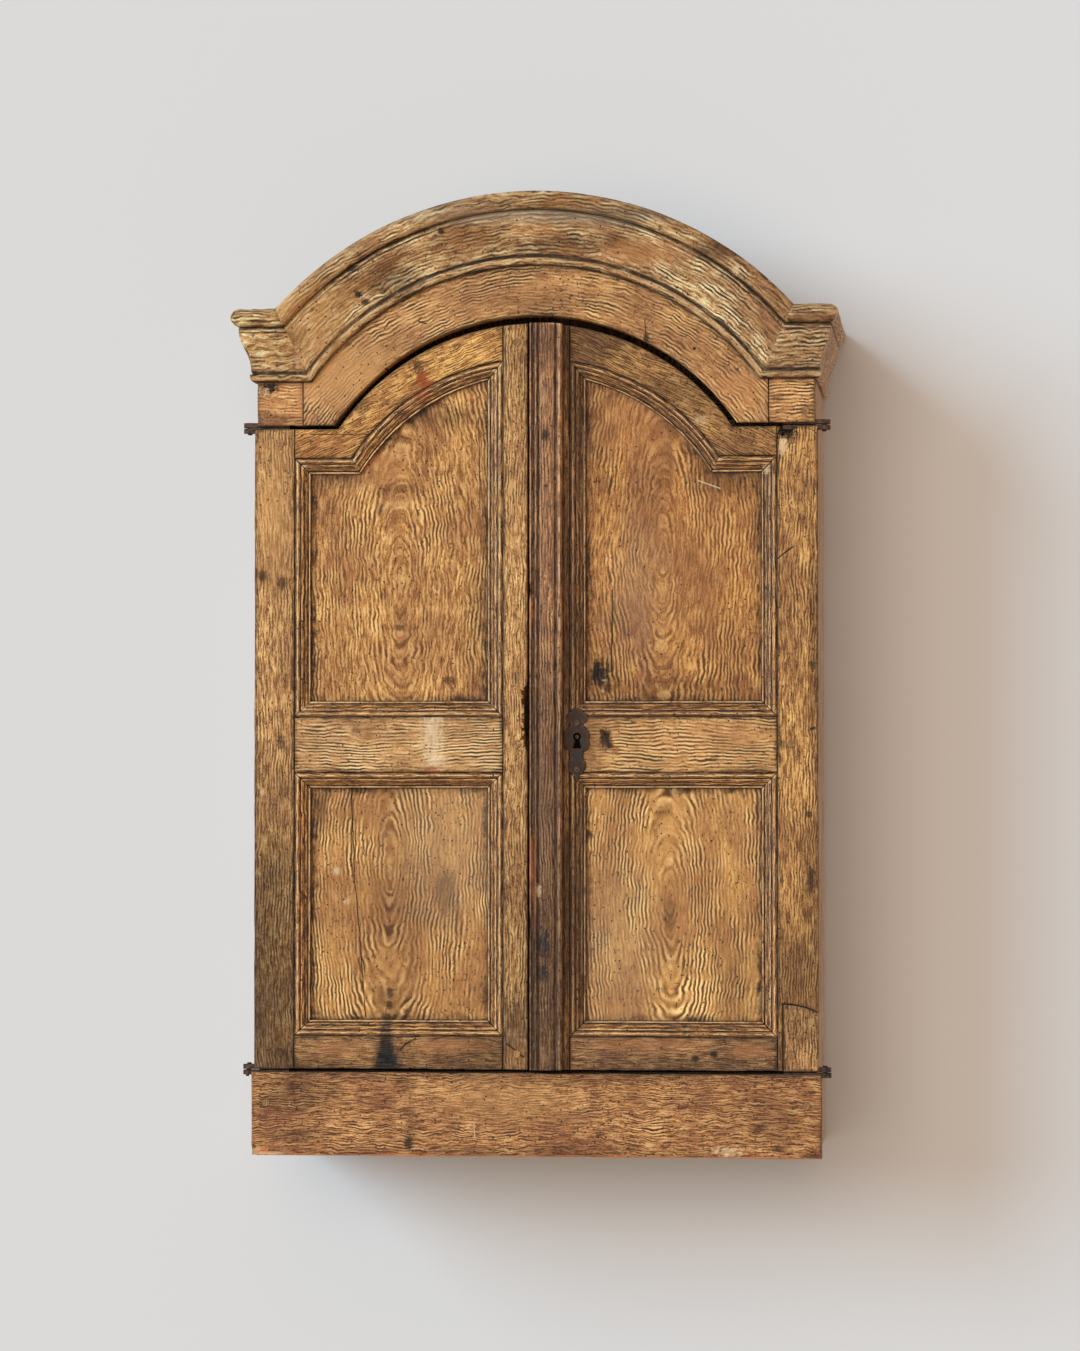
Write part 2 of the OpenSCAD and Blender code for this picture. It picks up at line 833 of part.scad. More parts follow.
// PANEL MOULDINGS
// Section of a moulding as distance from its outer edge and height above the panel
quirk = 1;
quirk_drop = 1.6;
ogee_out = quirk + bead_w + quirk;
ogee_in = moulding_w - inner_bead_w - 0.4;
ogee_high = panel_sink - quirk_drop;
ogee_low = 3;
moulding_section = concat(
    [[0, 0], [0, panel_sink - quirk_drop], [quirk, panel_sink - quirk_drop]],
    round_points(quirk + bead_w / 2, panel_sink - bead_w / 2, bead_w / 2, 160, 20, 6),
    [[ogee_out, ogee_high - 0.6]],
    [for (i = [0:8]) [ogee_out + (ogee_in - ogee_out) * i / 8,
                      ogee_low + (ogee_high - ogee_low) * (1 + cos(22.5 * i)) / 2]],
    [[ogee_in, ogee_low - 0.8]],
    round_points(moulding_w - inner_bead_w / 2, ogee_low - 0.8, inner_bead_w / 2, 180, 0, 5),
    [[moulding_w, 0]]
);

// The part of a moulding inside a footprint drawn in X and Z
module mitred(points) {
    intersection() {
        board(front_y - 1, panel_y + 1) polygon(points);
        children();
    }
}

// A saw cut from an outer corner to an inner one, which keeps two strips apart
module mitre_cut(outer, inner) {
    way = inner - outer;
    board(front_y - 1, panel_y + 1) translate(outer) rotate(atan2(way[1], way[0]))
        translate([-1, -mitre_gap / 2]) square([norm(way) + 2, mitre_gap]);
}

// A length of moulding up the height of a door; it faces along side
module upright_strip(x, side, from_z, to_z) {
    translate([0, 0, from_z]) linear_extrude(to_z - from_z)
        polygon([for (p = moulding_section) [x + side * p[0], panel_y - p[1]]]);
}

// A length of moulding across a door; it faces along side
module level_strip(z, side, from_x, to_x) {
    run_along(from_x, to_x)
        polygon([for (p = moulding_section) [panel_y - p[1], z + side * p[0]]]);
}

module lower_moulding(meet_x) {
    w = moulding_w;
    outer = [[meet_x, lower_z], [hang_x, lower_z], [hang_x, mid_z], [meet_x, mid_z]];
    inner = [[meet_x + w, lower_z + w], [hang_x - w, lower_z + w],
             [hang_x - w, mid_z - w], [meet_x + w, mid_z - w]];
    difference() {
        union() {
            mitred([outer[0], outer[1], inner[1], inner[0]])
                level_strip(lower_z, 1, meet_x, hang_x);
            mitred([outer[1], outer[2], inner[2], inner[1]])
                upright_strip(hang_x, -1, lower_z, mid_z);
            mitred([outer[2], outer[3], inner[3], inner[2]])
                level_strip(mid_z, -1, meet_x, hang_x);
            mitred([outer[3], outer[0], inner[0], inner[3]])
                upright_strip(meet_x, 1, lower_z, mid_z);
        }
        for (i = [0:3]) mitre_cut(outer[i], inner[i]);
    }
}

module upper_moulding(meet_x) {
    w = moulding_w;
    ear_in = panel_ear_z - w;
    outer = [[meet_x, upper_z], [hang_x, upper_z], [hang_x, panel_ear_z],
             [panel_half_w, panel_ear_z], [meet_x, arc_z(panel_r, panel_c, meet_x)]];
    inner = [[meet_x + w, upper_z + w], [hang_x - w, upper_z + w], [hang_x - w, ear_in],
             [arc_x(panel_r - w, panel_c, ear_in), ear_in],
             [meet_x + w, arc_z(panel_r - w, panel_c, meet_x + w)]];
    difference() {
        union() {
            mitred([outer[0], outer[1], inner[1], inner[0]])
                level_strip(upper_z, 1, meet_x, hang_x);
            mitred([outer[1], outer[2], inner[2], inner[1]])
                upright_strip(hang_x, -1, upper_z, panel_ear_z);
            mitred([outer[2], outer[3], inner[3], inner[2]])
                level_strip(panel_ear_z, -1, inner[3][0] - 1, hang_x);
            mitred([inner[3], outer[3], [panel_half_w, crown_z], [meet_x, crown_z],
                    outer[4], inner[4]])
                turned(panel_c)
                    polygon([for (p = moulding_section) [panel_r - p[0], p[1] - panel_y]]);
            mitred([outer[4], outer[0], inner[0], inner[4]])
                upright_strip(meet_x, 1, upper_z, outer[4][1]);
        }
        for (i = [0:4]) mitre_cut(outer[i], inner[i]);
    }
}

// LEFT DOOR
module on_left() {
    hung() mirror([1, 0, 0]) children();
}

module left_hanging_stile() {
    color(OAK) on_left() hanging_stile(left_meet);
}

module left_meeting_stile() {
    color(OAK) on_left() meeting_stile(left_meet, left_edge);
}

module left_top_rail() {
    color(OAK) on_left() top_rail(left_meet);
}

module left_mid_rail() {
    color(OAK) on_left() mid_rail(left_meet);
}

module left_foot_rail() {
    color(OAK) on_left() foot_rail(left_meet);
}

module left_upper_panel() {
    color(OAK) on_left() upper_panel(left_meet);
}

module left_lower_panel() {
    color(OAK) on_left() lower_panel(left_meet);
}

module left_upper_moulding() {
    color(DARK_OAK) on_left() upper_moulding(left_meet);
}

module left_lower_moulding() {
    color(DARK_OAK) on_left() lower_moulding(left_meet);
}

module left_door_pegs() {
    color(DARK_OAK) on_left() door_pegs(left_meet, peg_r, peg_proud);
}

// SLIDE BOLT on the back of the left door
module slide_bolt_plate() {
    color(IRON) on_left() translate([slide_x - slide_plate_w / 2, back_y, slide_foot - 4])
        cube([slide_plate_w, lock_t, slide_tip - slide_foot - 1]);
}

module slide_bolt_staples() {
    gap_w = slide_w + 2 * bolt_play;
    gap_t = slide_t + 2 * bolt_play;
    color(IRON) on_left() for (z = [lower_staple_z, upper_staple_z])
        difference() {
            translate([slide_x - gap_w / 2 - staple_wall, back_y + lock_t, z])
                cube([gap_w + 2 * staple_wall, gap_t + staple_wall, staple_h]);
            translate([slide_x - gap_w / 2, back_y + lock_t - 1, z - 1])
                cube([gap_w, gap_t + 1, staple_h + 2]);
        }
}

module slide_bolt() {
    color(IRON) on_left() {
        translate([slide_x - slide_w / 2, slide_front, slide_foot])
            cube([slide_w, slide_t, slide_l]);
        front_bar(slide_x, knob_z, knob_r, slide_front + slide_t - 1,
                  slide_front + slide_t + knob_l);
    }
}

// The staple on the back of the left door that takes the lock's bolt
module lock_keeper() {
    gap_h = bolt_h + 2 * bolt_play;
    gap_front = bolt_front - bolt_play;
    gap_t = bolt_t + 2 * bolt_play;
    color(IRON) on_left() difference() {
        translate([keeper_x, back_y, bolt_z - bolt_play - keeper_wall])
            cube([keeper_w, gap_front - back_y + gap_t + keeper_wall, gap_h + 2 * keeper_wall]);
        translate([keeper_x - 1, gap_front, bolt_z - bolt_play])
            cube([keeper_w + 2, gap_t, gap_h]);
    }
}

// RIGHT DOOR
// Outline of the patch let into the foot of the right hanging stile
patch_h = 72;
patch_x = hang_x + 6;
patch_sag = 9;
patch_t = 8;
module patch_shape(play) {
    patch_w = door_x - patch_x;
    top_r = arc_r(patch_w, patch_sag);
    board(front_y, front_y + patch_t + play) intersection() {
        translate([patch_x - play, door_z]) square([patch_w + play, patch_h + play]);
        translate([patch_x, door_z + patch_h - top_r]) circle(r = top_r + play, $fn = 180);
    }
}

module right_hanging_stile() {
    hung() color(OAK) difference() {
        hanging_stile(right_meet);
        patch_shape(wood_play);
    }
}

module stile_patch() {
    hung() color(OAK) difference() {
        patch_shape(0);
        door_pegs(right_meet, peg_r + driven_play, peg_proud);
        leaf_seat(door_z - leaf_t, foot_door_leaf + leaf_t);
    }
}

module right_meeting_stile() {
    hung() color(OAK) meeting_stile(right_meet, right_edge);
}

module right_top_rail() {
    hung() color(OAK) top_rail(right_meet);
}

module right_mid_rail() {
    hung() color(OAK) difference() {
        mid_rail(right_meet);
        board(front_y - 1, back_y + 1) keyhole();
        key_plate_shanks(driven_play);
        bent_shank(driven_play);
    }
}

module right_foot_rail() {
    hung() color(OAK) foot_rail(right_meet);
}

module right_upper_panel() {
    hung() color(OAK) upper_panel(right_meet);
}

module right_lower_panel() {
    hung() color(OAK) lower_panel(right_meet);
}

module right_upper_moulding() {
    hung() color(DARK_OAK) upper_moulding(right_meet);
}

module right_lower_moulding() {
    hung() color(DARK_OAK) lower_moulding(right_meet);
}

module right_door_pegs() {
    hung() color(DARK_OAK) door_pegs(right_meet, peg_r, 0);
}

// Half-oval top between two distances and two heights
function crest(from, to, low, high) =
    [for (i = [0:8]) [from + (to - from) * (1 - cos(22.5 * i)) / 2,
                      low + (high - low) * sin(22.5 * i)]];

// Section of the cover strip as distance from the free edge and height above the door: two
// ridges with a groove beside each, a broad flat, a third groove and a bead
groove_w = 2;
flat_top = strip_t - 0.6;
strip_low = strip_t - strip_sink;
flat_from = 3 * strip_ridge + groove_w;
bead_from = strip_w - strip_bead;
strip_section = concat(
    [[0, 0]],
    crest(0, strip_ridge, strip_low, strip_t),
    crest(2 * strip_ridge, 3 * strip_ridge, strip_low, strip_t),
    [[flat_from, strip_low], [flat_from, flat_top]],
    [[bead_from - groove_w, flat_top], [bead_from - groove_w, strip_low]],
    crest(bead_from, strip_w, strip_low, flat_top),
    [[strip_w, 0]]
);

module cover_strip() {
    hung() color(DARK_OAK) intersection() {
        linear_extrude(2 * crown_z)
            polygon([for (p = strip_section) [right_edge + p[0], front_y - p[1]]]);
        board(front_y - strip_t - 1, front_y + 1) door_outline(right_edge);
    }
}

// LOCK on the right door
module keyhole() {
    waist = key_r / 2;
    flare = key_r * 1.12;
    translate([key_x, key_z]) {
        circle(r = key_r);
        polygon([[waist, 0], [-waist, 0], [-flare, -key_slot], [flare, -key_slot]]);
    }
}

// Outline of the key plate: three lobes and a pointed tip
module key_plate_outline() {
    translate([key_x, key_z]) difference() {
        union() {
            translate([0, 24]) circle(r = 7.5);
            translate([-5.5, 20.5]) circle(r = 6.5);
            translate([5.5, 20.5]) circle(r = 6.5);
            translate([-7, -34]) square([14, 55]);
            translate([0, 0]) circle(r = 14);
            translate([-5.5, -8]) circle(r = 8.5);
            translate([5.5, -8]) circle(r = 8.5);
            translate([0, -31.5]) circle(r = 10);
            polygon([[-7, -33], [-2, -45], [0, -51.5], [2, -45], [7, -33]]);
        }
        keyhole_at_origin();
    }
}

module keyhole_at_origin() {
    translate([-key_x, -key_z]) keyhole();
}

module key_plate() {
    hung() color(IRON) difference() {
        board(front_y - escutcheon_t, front_y) key_plate_outline();
        key_plate_shanks(driven_play);
    }
}

module key_plate_shanks(play) {
    for (z = [key_z + plate_nail_up, key_z - plate_nail_down])
        front_bar(key_x, z, nail_r + play, front_y - escutcheon_t, front_y + plate_nail_l);
}

module key_plate_nails() {
    head_r = 3.4;
    hung() color(IRON) {
        key_plate_shanks(0);
        for (z = [key_z + plate_nail_up, key_z - plate_nail_down])
            front_bar(key_x, z, head_r, front_y - escutcheon_t - 1.4, front_y - escutcheon_t);
    }
}

// A nail driven into the middle rail and beaten over
module bent_shank(play) {
    front_bar(bent_x, mid_z + bent_up, nail_r + play, front_y - bent_out, front_y + bent_in);
}

module bent_nail() {
    hung() color(IRON) {
        bent_shank(0);
        translate([bent_x, front_y - bent_out, mid_z + bent_up]) {
            sphere(r = nail_r);
            rotate([0, bent_turn, 0]) {
                cylinder(r = nail_r, h = bent_drop);
                translate([0, 0, bent_drop - 1]) cylinder(r = 3, h = 2);
            }
        }
    }
}

module side_nail_shank(play) {
    translate([-case_x - nail_out, side_nail_y, side_nail_z]) rotate([0, 90, 0])
        cylinder(r = nail_r + play, h = nail_out + nail_in);
}

module side_nail() {
    hung() color(IRON) {
        side_nail_shank(0);
        translate([-case_x - nail_out - nail_head_t + 0.5, side_nail_y, side_nail_z])
            rotate([0, 90, 0]) cylinder(r = nail_head_r, h = nail_head_t);
    }
}

module lock_plate() {
    hung() color(IRON) {
        board(back_y, back_y + lock_t) difference() {
            translate([lock_x, lock_z]) square([lock_w, lock_h]);
            keyhole();
        }
        front_bar(stump_x, bolt_z + bolt_h / 2, stump_r, back_y + 0.5, lock_back - lock_t);
    }
}

module lock_cap() {
    hung() color(IRON) difference() {
        translate([lock_x, back_y + lock_t, lock_z]) cube([lock_w, lock_d - lock_t, lock_h]);
        translate([lock_x + lock_t, back_y, lock_z + lock_t])
            cube([lock_w - 2 * lock_t, lock_d - lock_t, lock_h - 2 * lock_t]);
        translate([lock_x - 1, bolt_front - bolt_play, bolt_z - bolt_play])
            cube([lock_t + 2, bolt_t + 2 * bolt_play, bolt_h + 2 * bolt_play]);
    }
}

module lock_bolt() {
    slot_h = 2 * stump_r + 2 * bolt_play;
    slot_l = slot_h + bolt_throw;
    hung() color(IRON) difference() {
        translate([lock_x, bolt_front, bolt_z]) cube([bolt_l, bolt_t, bolt_h]);
        translate([stump_x - slot_h / 2, bolt_front - 1, bolt_z + (bolt_h - slot_h) / 2])
            cube([slot_l, bolt_t + 2, slot_h]);
        translate([key_x - talon_w / 2, bolt_front - 1, bolt_z - 1])
            cube([talon_w, bolt_t + 2, talon_h + 1]);
    }
}

// A leaf spring that presses on the bolt, with its foot on the cap's top wall
module lock_spring() {
    leaf_z = bolt_z + bolt_h + bolt_play;
    hung() color(IRON) translate([lock_x + 8, bolt_front + 1, 0]) {
        translate([0, 0, leaf_z]) cube([spring_l, bolt_t - 2, spring_t]);
        translate([spring_l - spring_t, 0, leaf_z])
            cube([spring_t, bolt_t - 2, lock_z + lock_h - lock_t - leaf_z]);
    }
}

module key_pin() {
    hung() color(IRON)
        front_bar(key_x, key_z, key_pin_r, front_y + key_pin_back, lock_back - lock_t);
}

left_side_board();
right_side_board();
bottom_board();
back_boards();
lower_shelf();
upper_shelf();
shelf_cleats();
hanging_rail();
apron_board();
frieze_arch();
frieze_left_block();
frieze_right_block();
cornice_arch();
cornice_left_ear();
cornice_right_ear();
cornice_left_return();
cornice_right_return();
roof_staves();
shoulder_boards();
case_pegs();
hinge_case_leaves();
hinge_pins();
side_nail();
left_hanging_stile();
left_meeting_stile();
left_top_rail();
left_mid_rail();
left_foot_rail();
left_upper_panel();
left_lower_panel();
left_upper_moulding();
left_lower_moulding();
left_door_pegs();
left_hinge_leaves();
slide_bolt_plate();
slide_bolt_staples();
slide_bolt();
lock_keeper();
right_hanging_stile();
right_meeting_stile();
right_top_rail();
right_mid_rail();
right_foot_rail();
right_upper_panel();
right_lower_panel();
right_upper_moulding();
right_lower_moulding();
right_door_pegs();
right_hinge_leaves();
stile_patch();
cover_strip();
key_plate();
key_plate_nails();
bent_nail();
lock_plate();
lock_cap();
lock_bolt();
lock_spring();
key_pin();
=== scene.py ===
"""Dresses the arched oak wall cabinet: worn boards, moulded runs, forged iron and light."""

import logging
import math
from collections.abc import Callable
from dataclasses import dataclass, replace
from enum import Enum
from types import SimpleNamespace

import bmesh
import bpy
import numpy as np
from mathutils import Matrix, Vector
from mathutils.geometry import delaunay_2d_cdt


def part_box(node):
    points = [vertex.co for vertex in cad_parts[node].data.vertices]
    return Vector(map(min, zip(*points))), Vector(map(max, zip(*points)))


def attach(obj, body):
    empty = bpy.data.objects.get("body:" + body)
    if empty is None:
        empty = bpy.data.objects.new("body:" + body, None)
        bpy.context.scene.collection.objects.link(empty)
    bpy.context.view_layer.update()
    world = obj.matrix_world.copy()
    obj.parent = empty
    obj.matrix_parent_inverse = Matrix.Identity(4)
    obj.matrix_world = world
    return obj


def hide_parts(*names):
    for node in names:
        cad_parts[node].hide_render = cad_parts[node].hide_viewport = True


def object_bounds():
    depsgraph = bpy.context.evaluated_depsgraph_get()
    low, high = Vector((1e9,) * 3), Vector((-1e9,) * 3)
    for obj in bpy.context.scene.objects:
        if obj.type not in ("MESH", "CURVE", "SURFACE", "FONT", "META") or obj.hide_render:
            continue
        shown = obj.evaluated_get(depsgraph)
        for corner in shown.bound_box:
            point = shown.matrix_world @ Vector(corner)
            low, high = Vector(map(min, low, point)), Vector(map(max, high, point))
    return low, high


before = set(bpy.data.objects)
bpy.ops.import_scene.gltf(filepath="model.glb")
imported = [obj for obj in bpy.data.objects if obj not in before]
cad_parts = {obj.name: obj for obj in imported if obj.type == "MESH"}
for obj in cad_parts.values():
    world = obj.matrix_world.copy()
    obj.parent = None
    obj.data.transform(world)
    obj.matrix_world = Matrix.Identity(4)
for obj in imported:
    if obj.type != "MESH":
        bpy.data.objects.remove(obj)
CAD_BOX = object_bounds()
LOG = logging.getLogger("wall_cabinet")

MM = 0.001
TINY = 1e-9
WELD = 2e-6
SNAP = 1e-5
PRIMES = np.array([73856093, 19349663, 83492791], np.uint32)
SCRAMBLE = np.uint32(1274126177)
LOW_BITS = np.uint32(0xFFFF)
FOOT = CAD_BOX[0].z
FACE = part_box("apron_board")[0].y
ORIGIN = (0.0, 0.0, 0.0)
ARCH_REACH = 0.33
Loop = np.ndarray
Pair = tuple[float, float]
Triple = tuple[float, float, float]
Paint = tuple[int, int, int]


def spot(x: float, height: float, y: float = FACE) -> Vector:
    """A place from millimetres right of the middle and above the underside."""
    return Vector((x * MM, y, FOOT + height * MM))


def linear(red: float, green: float, blue: float) -> tuple[float, float, float, float]:
    """Turns an 8-bit display colour into Blender's linear one."""
    parts = [c / 255 for c in (red, green, blue)]
    return (*[c / 12.92 if c <= 0.04045 else ((c + 0.055) / 1.055) ** 2.4 for c in parts], 1.0)


def ripple(points: np.ndarray, pitch: float, seed: int) -> np.ndarray:
    """Smooth noise over points in space.

    Args:
        points: one point per row, in metres.
        pitch: distance between bumps, in metres.
        seed: chooses another pattern.

    Returns:
        One value from -1 to 1 per point.
    """
    cell = points / pitch + 37.2 * (seed + 1)
    low = np.floor(cell).astype(np.int64)
    part = cell - low
    part = part * part * (3 - 2 * part)
    total = np.zeros(len(points))
    for corner in np.ndindex(2, 2, 2):
        at = (low + corner).astype(np.uint32) * PRIMES
        mixed = np.bitwise_xor.reduce(at, axis=1) ^ np.uint32(seed * 97 + 13)
        mixed = (mixed ^ (mixed >> np.uint32(13))) * SCRAMBLE
        mixed = mixed ^ (mixed >> np.uint32(16))
        share = np.prod(np.where(corner, part, 1 - part), axis=1)
        total += share * ((mixed & LOW_BITS) / (LOW_BITS / 2) - 1)
    return total


def swell(points: np.ndarray, pitch: float, seed: int) -> np.ndarray:
    """The same noise from 0 to 1."""
    return 0.5 + 0.5 * ripple(points, pitch, seed)


def unit(rows: np.ndarray) -> np.ndarray:
    """Every row at a length of one."""
    return rows / np.maximum(np.linalg.norm(rows, axis=1), TINY)[:, None]


def lift(flat: np.ndarray) -> np.ndarray:
    """Places across and up as places in space."""
    return np.column_stack([flat[:, 0], np.zeros(len(flat)), flat[:, 1]])


class Value:
    """A socket of a node tree that takes part in plain sums."""

    def __init__(self, wires: "Wiring", socket: bpy.types.NodeSocket) -> None:
        """Notes the socket and the wiring it lies in."""
        self.wires, self.socket = wires, socket

    def __add__(self, other: "Given") -> "Value":
        """The sum."""
        return self.wires.math("ADD", self, other)

    def __sub__(self, other: "Given") -> "Value":
        """The difference."""
        return self.wires.math("SUBTRACT", self, other)

    def __rsub__(self, other: float) -> "Value":
        """A plain number less this."""
        return self.wires.math("SUBTRACT", other, self)

    def __mul__(self, other: "Given") -> "Value":
        """The product."""
        return self.wires.math("MULTIPLY", self, other)

    def __truediv__(self, other: "Given") -> "Value":
        """The quotient."""
        return self.wires.math("DIVIDE", self, other)

    def top(self, other: "Given") -> "Value":
        """The greater of the two."""
        return self.wires.math("MAXIMUM", self, other)


Given = Value | float | tuple[float, ...]


class Wiring:
    """A node tree with short calls that add nodes and join them."""

    def __init__(self, tree: bpy.types.NodeTree) -> None:
        """Takes over the tree and empties it."""
        self.tree = tree
        tree.nodes.clear()

    def join(self, node: bpy.types.Node, links: dict[str | int, Given]) -> bpy.types.Node:
        """Feeds a node.

        Args:
            node: the node.
            links: what its inputs get, by name or index.

        Returns:
            The same node.
        """
        for name, value in links.items():
            if isinstance(value, Value):
                self.tree.links.new(value.socket, node.inputs[name])
            else:
                node.inputs[name].default_value = value
        return node

    def add(self, kind: str, links: dict | None = None, **settings: object) -> bpy.types.Node:
        """Adds a node.

        Args:
            kind: the node type without its ShaderNode prefix.
            links: what its inputs get, by name or index.
            settings: the node's own properties.

        Returns:
            The new node.
        """
        node = self.tree.nodes.new("ShaderNode" + kind)
        for name, value in settings.items():
            setattr(node, name, value)
        return self.join(node, links or {})

    def outs(self, node: bpy.types.Node) -> SimpleNamespace:
        """A node's outputs, by their names without blanks."""
        return SimpleNamespace(**{s.name.replace(" ", ""): Value(self, s) for s in node.outputs})

    def out(self, kind: str, links: dict, output: str | int = 0, **settings: object) -> Value:
        """One output of a new node."""
        return Value(self, self.add(kind, links, **settings).outputs[output])

    def math(self, operation: str, a: Given, b: Given = 0.0, clamp: bool = False) -> Value:
        """One Math node's result."""
        return self.out("Math", {0: a, 1: b}, operation=operation, use_clamp=clamp)

    def clamped(self, a: Value, b: Given) -> Value:
        """The product of two values, kept from 0 to 1."""
        return self.math("MULTIPLY", a, b, clamp=True)

    def vector(self, operation: str, a: Given, b: Given = ORIGIN) -> Value:
        """One Vector Math node's vector."""
        return self.out("VectorMath", {0: a, 1: b}, "Vector", operation=operation)

    def flat(self, a: Given) -> Value:
        """A vector without its depth."""
        return self.vector("MULTIPLY", a, (1, 0, 1))

    def scaled(self, a: Given, share: Given) -> Value:
        """A vector times a value."""
        return self.out("VectorMath", {0: a, "Scale": share}, "Vector", operation="SCALE")

    def dot(self, a: Given, b: Given) -> Value:
        """The dot product of two vectors."""
        return self.out("VectorMath", {0: a, 1: b}, "Value", operation="DOT_PRODUCT")

    def length(self, a: Given) -> Value:
        """The length of a vector."""
        return self.out("VectorMath", {0: a}, "Value", operation="LENGTH")

    def pack(self, x: Given, y: Given, z: Given) -> Value:
        """Three values as one vector."""
        return self.out("CombineXYZ", {0: x, 1: y, 2: z})

    def parts(self, a: Given) -> SimpleNamespace:
        """A vector's X, Y and Z."""
        return self.outs(self.add("SeparateXYZ", {0: a}))

    def step(self, value: Given, low: Given, high: Given, a: Given = 0.0, b: Given = 1.0) -> Value:
        """A smooth step from a at low to b at high."""
        links = {"Value": value, "From Min": low, "From Max": high, "To Min": a, "To Max": b}
        return self.out("MapRange", links, interpolation_type="SMOOTHSTEP")

    def noise(self, at: Value, scale: float = 1.0, detail: float = 1.0, rough: float = 0.5,
              output: int = 0) -> Value:
        """Noise from about 0.25 to 0.75 over a vector, or a noisy vector as output 1."""
        links = {"Vector": at, "Scale": scale, "Detail": detail, "Roughness": rough}
        return self.out("TexNoise", links, output)

    def carried(self, label: str) -> Value:
        """A value that the mesh carries at its vertices."""
        return self.out("Attribute", {}, "Fac", attribute_name=label)

    def blend(self, share: Given, a: Given, b: Given, mode: str = "MIX") -> Value:
        """Mixes colour b over colour a by a share."""
        return self.out("Mix", {0: share, 6: a, 7: b}, 2, data_type="RGBA", blend_type=mode,
                        clamp_factor=True)

    def place(self) -> Value:
        """The place on the piece, which moves with it."""
        return self.out("TexCoord", {}, "Object")

    def finished(self, material: bpy.types.Material, colour: Value, height: Value, rough: Value,
                 **more: Given) -> bpy.types.Material:
        """Closes a material with its relief and its shader.

        Args:
            material: the material that the tree belongs to.
            colour: its colour.
            height: its relief, in metres.
            rough: its roughness.
            more: what the shader's other inputs get.

        Returns:
            The material.
        """
        bump = self.out("Bump", {"Height": height, "Distance": 1.0, "Strength": 1.0})
        links = {"Base Color": colour, "Roughness": rough, "Normal": bump, **more}
        self.add("OutputMaterial", {0: self.out("BsdfPrincipled", links)})
        return material


class Effect:
    """A shader node group that several finishes share."""

    kinds = {float: "NodeSocketFloat", tuple: "NodeSocketVector"}

    def __init__(self, name: str, outputs: str, **inputs: float | Triple) -> None:
        """Makes the group's sockets.

        Args:
            name: the group's name.
            outputs: names of the values it puts out, with blanks between them.
            inputs: default value by input name.
        """
        self.tree = bpy.data.node_groups.new(name, "ShaderNodeTree")
        self.wires = Wiring(self.tree)
        new = self.tree.interface.new_socket
        for label, value in inputs.items():
            new(label, in_out="INPUT", socket_type=self.kinds[type(value)]).default_value = value
        for label in outputs.split():
            new(label, in_out="OUTPUT", socket_type=self.kinds[float])
        self.given = self.wires.outs(self.tree.nodes.new("NodeGroupInput"))
        self.result = self.tree.nodes.new("NodeGroupOutput")

    def put_out(self, **values: Value) -> "Effect":
        """Joins values to the outputs of the same names."""
        self.wires.join(self.result, values)
        return self

    def use(self, wires: Wiring, **links: Given) -> SimpleNamespace:
        """Places the group in a material.

        Args:
            wires: the material's wiring.
            links: what its inputs get, by name.

        Returns:
            The placed group's outputs.
        """
        node = wires.tree.nodes.new("ShaderNodeGroup")
        node.node_tree = self.tree
        return wires.outs(wires.join(node, links))


def make_board_axes() -> Effect:
    """Distances across, along and into a straight board.

    Returns:
        The shared group.
    """
    made = Effect("board_axes", "Across Along Depth", Position=ORIGIN, AcrossWay=(1.0, 0.0, 0.0),
                  AlongWay=(0.0, 0.0, 1.0), DepthWay=(0.0, 1.0, 0.0))
    w, g = made.wires, made.given
    return made.put_out(Across=w.dot(g.Position, g.AcrossWay), Along=w.dot(g.Position, g.AlongWay),
                        Depth=w.dot(g.Position, g.DepthWay))


def make_arch_axes() -> Effect:
    """Distances across, along and into a board that follows an arch.

    Returns:
        The shared group.
    """
    made = Effect("arch_axes", "Across Along Depth", Position=ORIGIN, Centre=ORIGIN)
    w, g = made.wires, made.given
    apart = w.vector("SUBTRACT", g.Position, g.Centre)
    parts = w.parts(apart)
    return made.put_out(Across=w.length(w.flat(apart)), Depth=parts.Y,
                        Along=w.math("ARCTAN2", parts.X, parts.Z) * ARCH_REACH)


